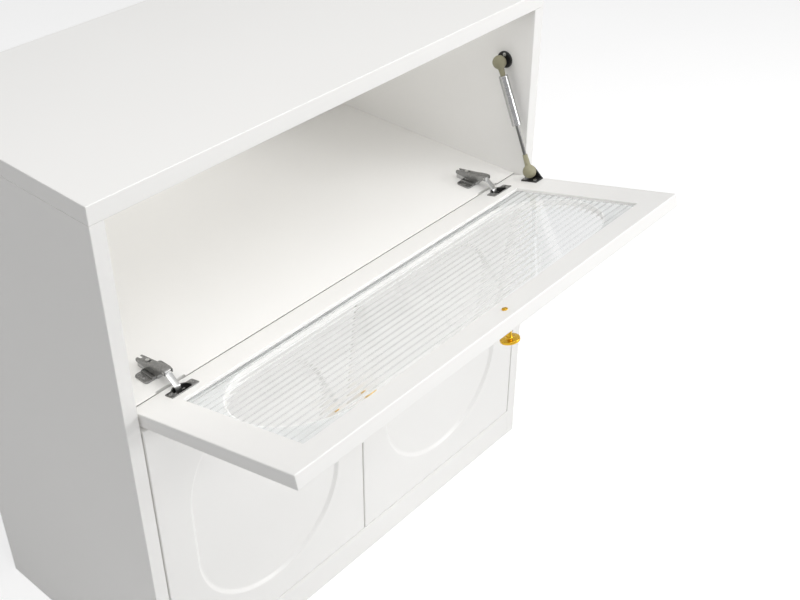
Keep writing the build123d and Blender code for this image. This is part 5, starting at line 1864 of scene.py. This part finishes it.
@dataclass(frozen=True)
class SoftLamp:
    """A soft rectangular lamp: where it hangs, what it points at, its sides and its power."""

    name: str
    place: tuple[float, float, float]
    aim: tuple[float, float, float]
    width: float
    height: float
    power: float

    def build(self) -> None:
        """Hangs the lamp."""
        data = bpy.data.lights.new(self.name, "AREA")
        data.shape = "RECTANGLE"
        data.size = self.width
        data.size_y = self.height
        data.energy = self.power
        lamp = bpy.data.objects.new(self.name, data)
        place = np.array(self.place)
        lamp.matrix_world = axes_along(place, place - np.array(self.aim), RIGHT).matrix()
        lamp.visible_camera = False
        bpy.context.scene.collection.objects.link(lamp)


@dataclass(frozen=True)
class Studio:
    """Floor, lamps, world and camera."""

    camera_place: tuple[float, float, float] = (-0.9600, -1.12063, 1.46056)
    camera_right: tuple[float, float, float] = (0.660786, -0.750574, -0.000121)
    camera_down: tuple[float, float, float] = (-0.437318, -0.384872, -0.812789)
    lens: float = 52.94
    sensor: float = 36.0
    sky: float = 0.3
    white: float = 1.0
    gleam: float = 0.6
    floor_gleam: float = 0.27
    floor_reach: float = 9.0
    floor_lift: float = 0.45
    bounces: int = 8
    lamps: tuple[SoftLamp, ...] = (
        SoftLamp("overhead", (-0.4, -0.9, 3.2), (0.0, 0.0, 0.8), 3.0, 2.4, 56.0),
        SoftLamp("front", (1.8, -2.7, 1.6), (0.0, 0.0, 0.45), 1.5, 1.4, 45.0),
        SoftLamp("compartment", (0.0, -0.03, 0.808), (0.0, -0.03, 0.5), 0.70, 0.30, 0.28),
    )

    def build_camera(self) -> None:
        """Stands the camera where the photograph was taken from."""
        data = bpy.data.cameras.new("camera")
        data.lens = self.lens
        data.sensor_width = self.sensor
        camera = bpy.data.objects.new("camera", data)
        right, up = unit(np.array(self.camera_right)), -unit(np.array(self.camera_down))
        back = np.cross(right, up)
        camera.matrix_world = axes_along(np.array(self.camera_place), back, right).matrix()
        bpy.context.scene.collection.objects.link(camera)
        bpy.context.scene.camera = camera

    def larger(
        self, tree: bpy.types.NodeTree, one: bpy.types.NodeSocket, other: bpy.types.NodeSocket
    ) -> bpy.types.NodeSocket:
        """The larger of two values."""
        node = tree.nodes.new("ShaderNodeMath")
        node.operation = "MAXIMUM"
        tree.links.new(one, node.inputs[0])
        tree.links.new(other, node.inputs[1])
        return node.outputs[0]

    def seen(self, tree: bpy.types.NodeTree) -> bpy.types.NodeSocket:
        """One for rays from the camera, and zero for all others."""
        return tree.nodes.new("ShaderNodeLightPath").outputs["Is Camera Ray"]

    def mirrored(self, tree: bpy.types.NodeTree) -> bpy.types.NodeSocket:
        """One for rays from a shiny surface or through glass, and zero for all others."""
        path = tree.nodes.new("ShaderNodeLightPath")
        return self.larger(tree, path.outputs["Is Glossy Ray"], path.outputs["Is Transmission Ray"])

    def between(
        self, tree: bpy.types.NodeTree, value: bpy.types.NodeSocket, low: float, high: float
    ) -> bpy.types.NodeSocket:
        """Low where the value is zero and high where it is one."""
        node = tree.nodes.new("ShaderNodeMapRange")
        node.inputs["To Min"].default_value = low
        node.inputs["To Max"].default_value = high
        tree.links.new(value, node.inputs["Value"])
        return node.outputs["Result"]

    def build_floor(self) -> None:
        """Lays a pale floor that looks white to the camera and keeps soft shadows."""
        mesh = bpy.data.meshes.new("floor")
        reach = self.floor_reach
        corners = [(-reach, -reach, 0), (reach, -reach, 0), (reach, reach, 0), (-reach, reach, 0)]
        mesh.from_pydata(corners, [], [(0, 1, 2, 3)])
        floor = bpy.data.objects.new("floor", mesh)
        bpy.context.scene.collection.objects.link(floor)
        sheet = NodeSheet("studio floor")
        sheet.put(Roughness=0.9, Emission_Color=(1.0, 1.0, 1.0, 1.0))
        sheet.tinted(sheet.noise(2.0), (0.79, 0.79, 0.79), (0.81, 0.81, 0.81))
        glow = self.larger(
            sheet.tree,
            self.between(sheet.tree, self.seen(sheet.tree), 0.0, self.floor_lift),
            self.between(sheet.tree, self.mirrored(sheet.tree), 0.0, self.floor_gleam),
        )
        sheet.tree.links.new(glow, sheet.shader.inputs["Emission Strength"])
        mesh.materials.append(sheet.material)

    def build_world(self) -> None:
        """Makes the world white to the camera, paler in mirrors and grey as the object's sky."""
        world = bpy.data.worlds.new("studio")
        bpy.context.scene.world = world
        world.use_nodes = True
        tree = world.node_tree
        level = self.larger(
            tree,
            self.between(tree, self.seen(tree), self.sky, self.white),
            self.between(tree, self.mirrored(tree), self.sky, self.gleam),
        )
        back = tree.nodes["Background"]
        back.inputs["Color"].default_value = (1.0, 1.0, 1.0, 1.0)
        tree.links.new(level, back.inputs["Strength"])

    def build(self) -> None:
        """Sets up the whole studio."""
        bpy.context.scene.view_settings.view_transform = "Standard"
        bpy.context.scene.cycles.diffuse_bounces = self.bounces
        self.build_camera()
        self.build_floor()
        self.build_world()
        for lamp in self.lamps:
            lamp.build()


def main() -> None:
    """Builds the cabinet and the studio and reports each piece."""
    logging.basicConfig(level=logging.INFO, format="%(name)s: %(message)s")
    cabinet = Cabinet()
    Boards().build()
    board = FlapFrame(cabinet.flap())
    board.build()
    FlutedPane(board).build()
    paint_node("flap_glazing_tape", Paint.TAPE)
    doors = (
        MouldedDoor("left", cabinet.door("left"), Body.LEFT_DOOR),
        MouldedDoor("right", cabinet.door("right"), Body.RIGHT_DOOR),
    )
    Knob("flap", board.leaf, board.knob_spot(), Body.FLAP, "flap").build()
    for door in doors:
        door.build()
        name = f"{door.side}_door"
        Knob(name, door.leaf, door.knob_spot(), door.body, name).build()
    HingeSet(cabinet, board, doors).build()
    LidStrut(cabinet).build()
    Studio().build()


if __name__ == "__main__":
    main()
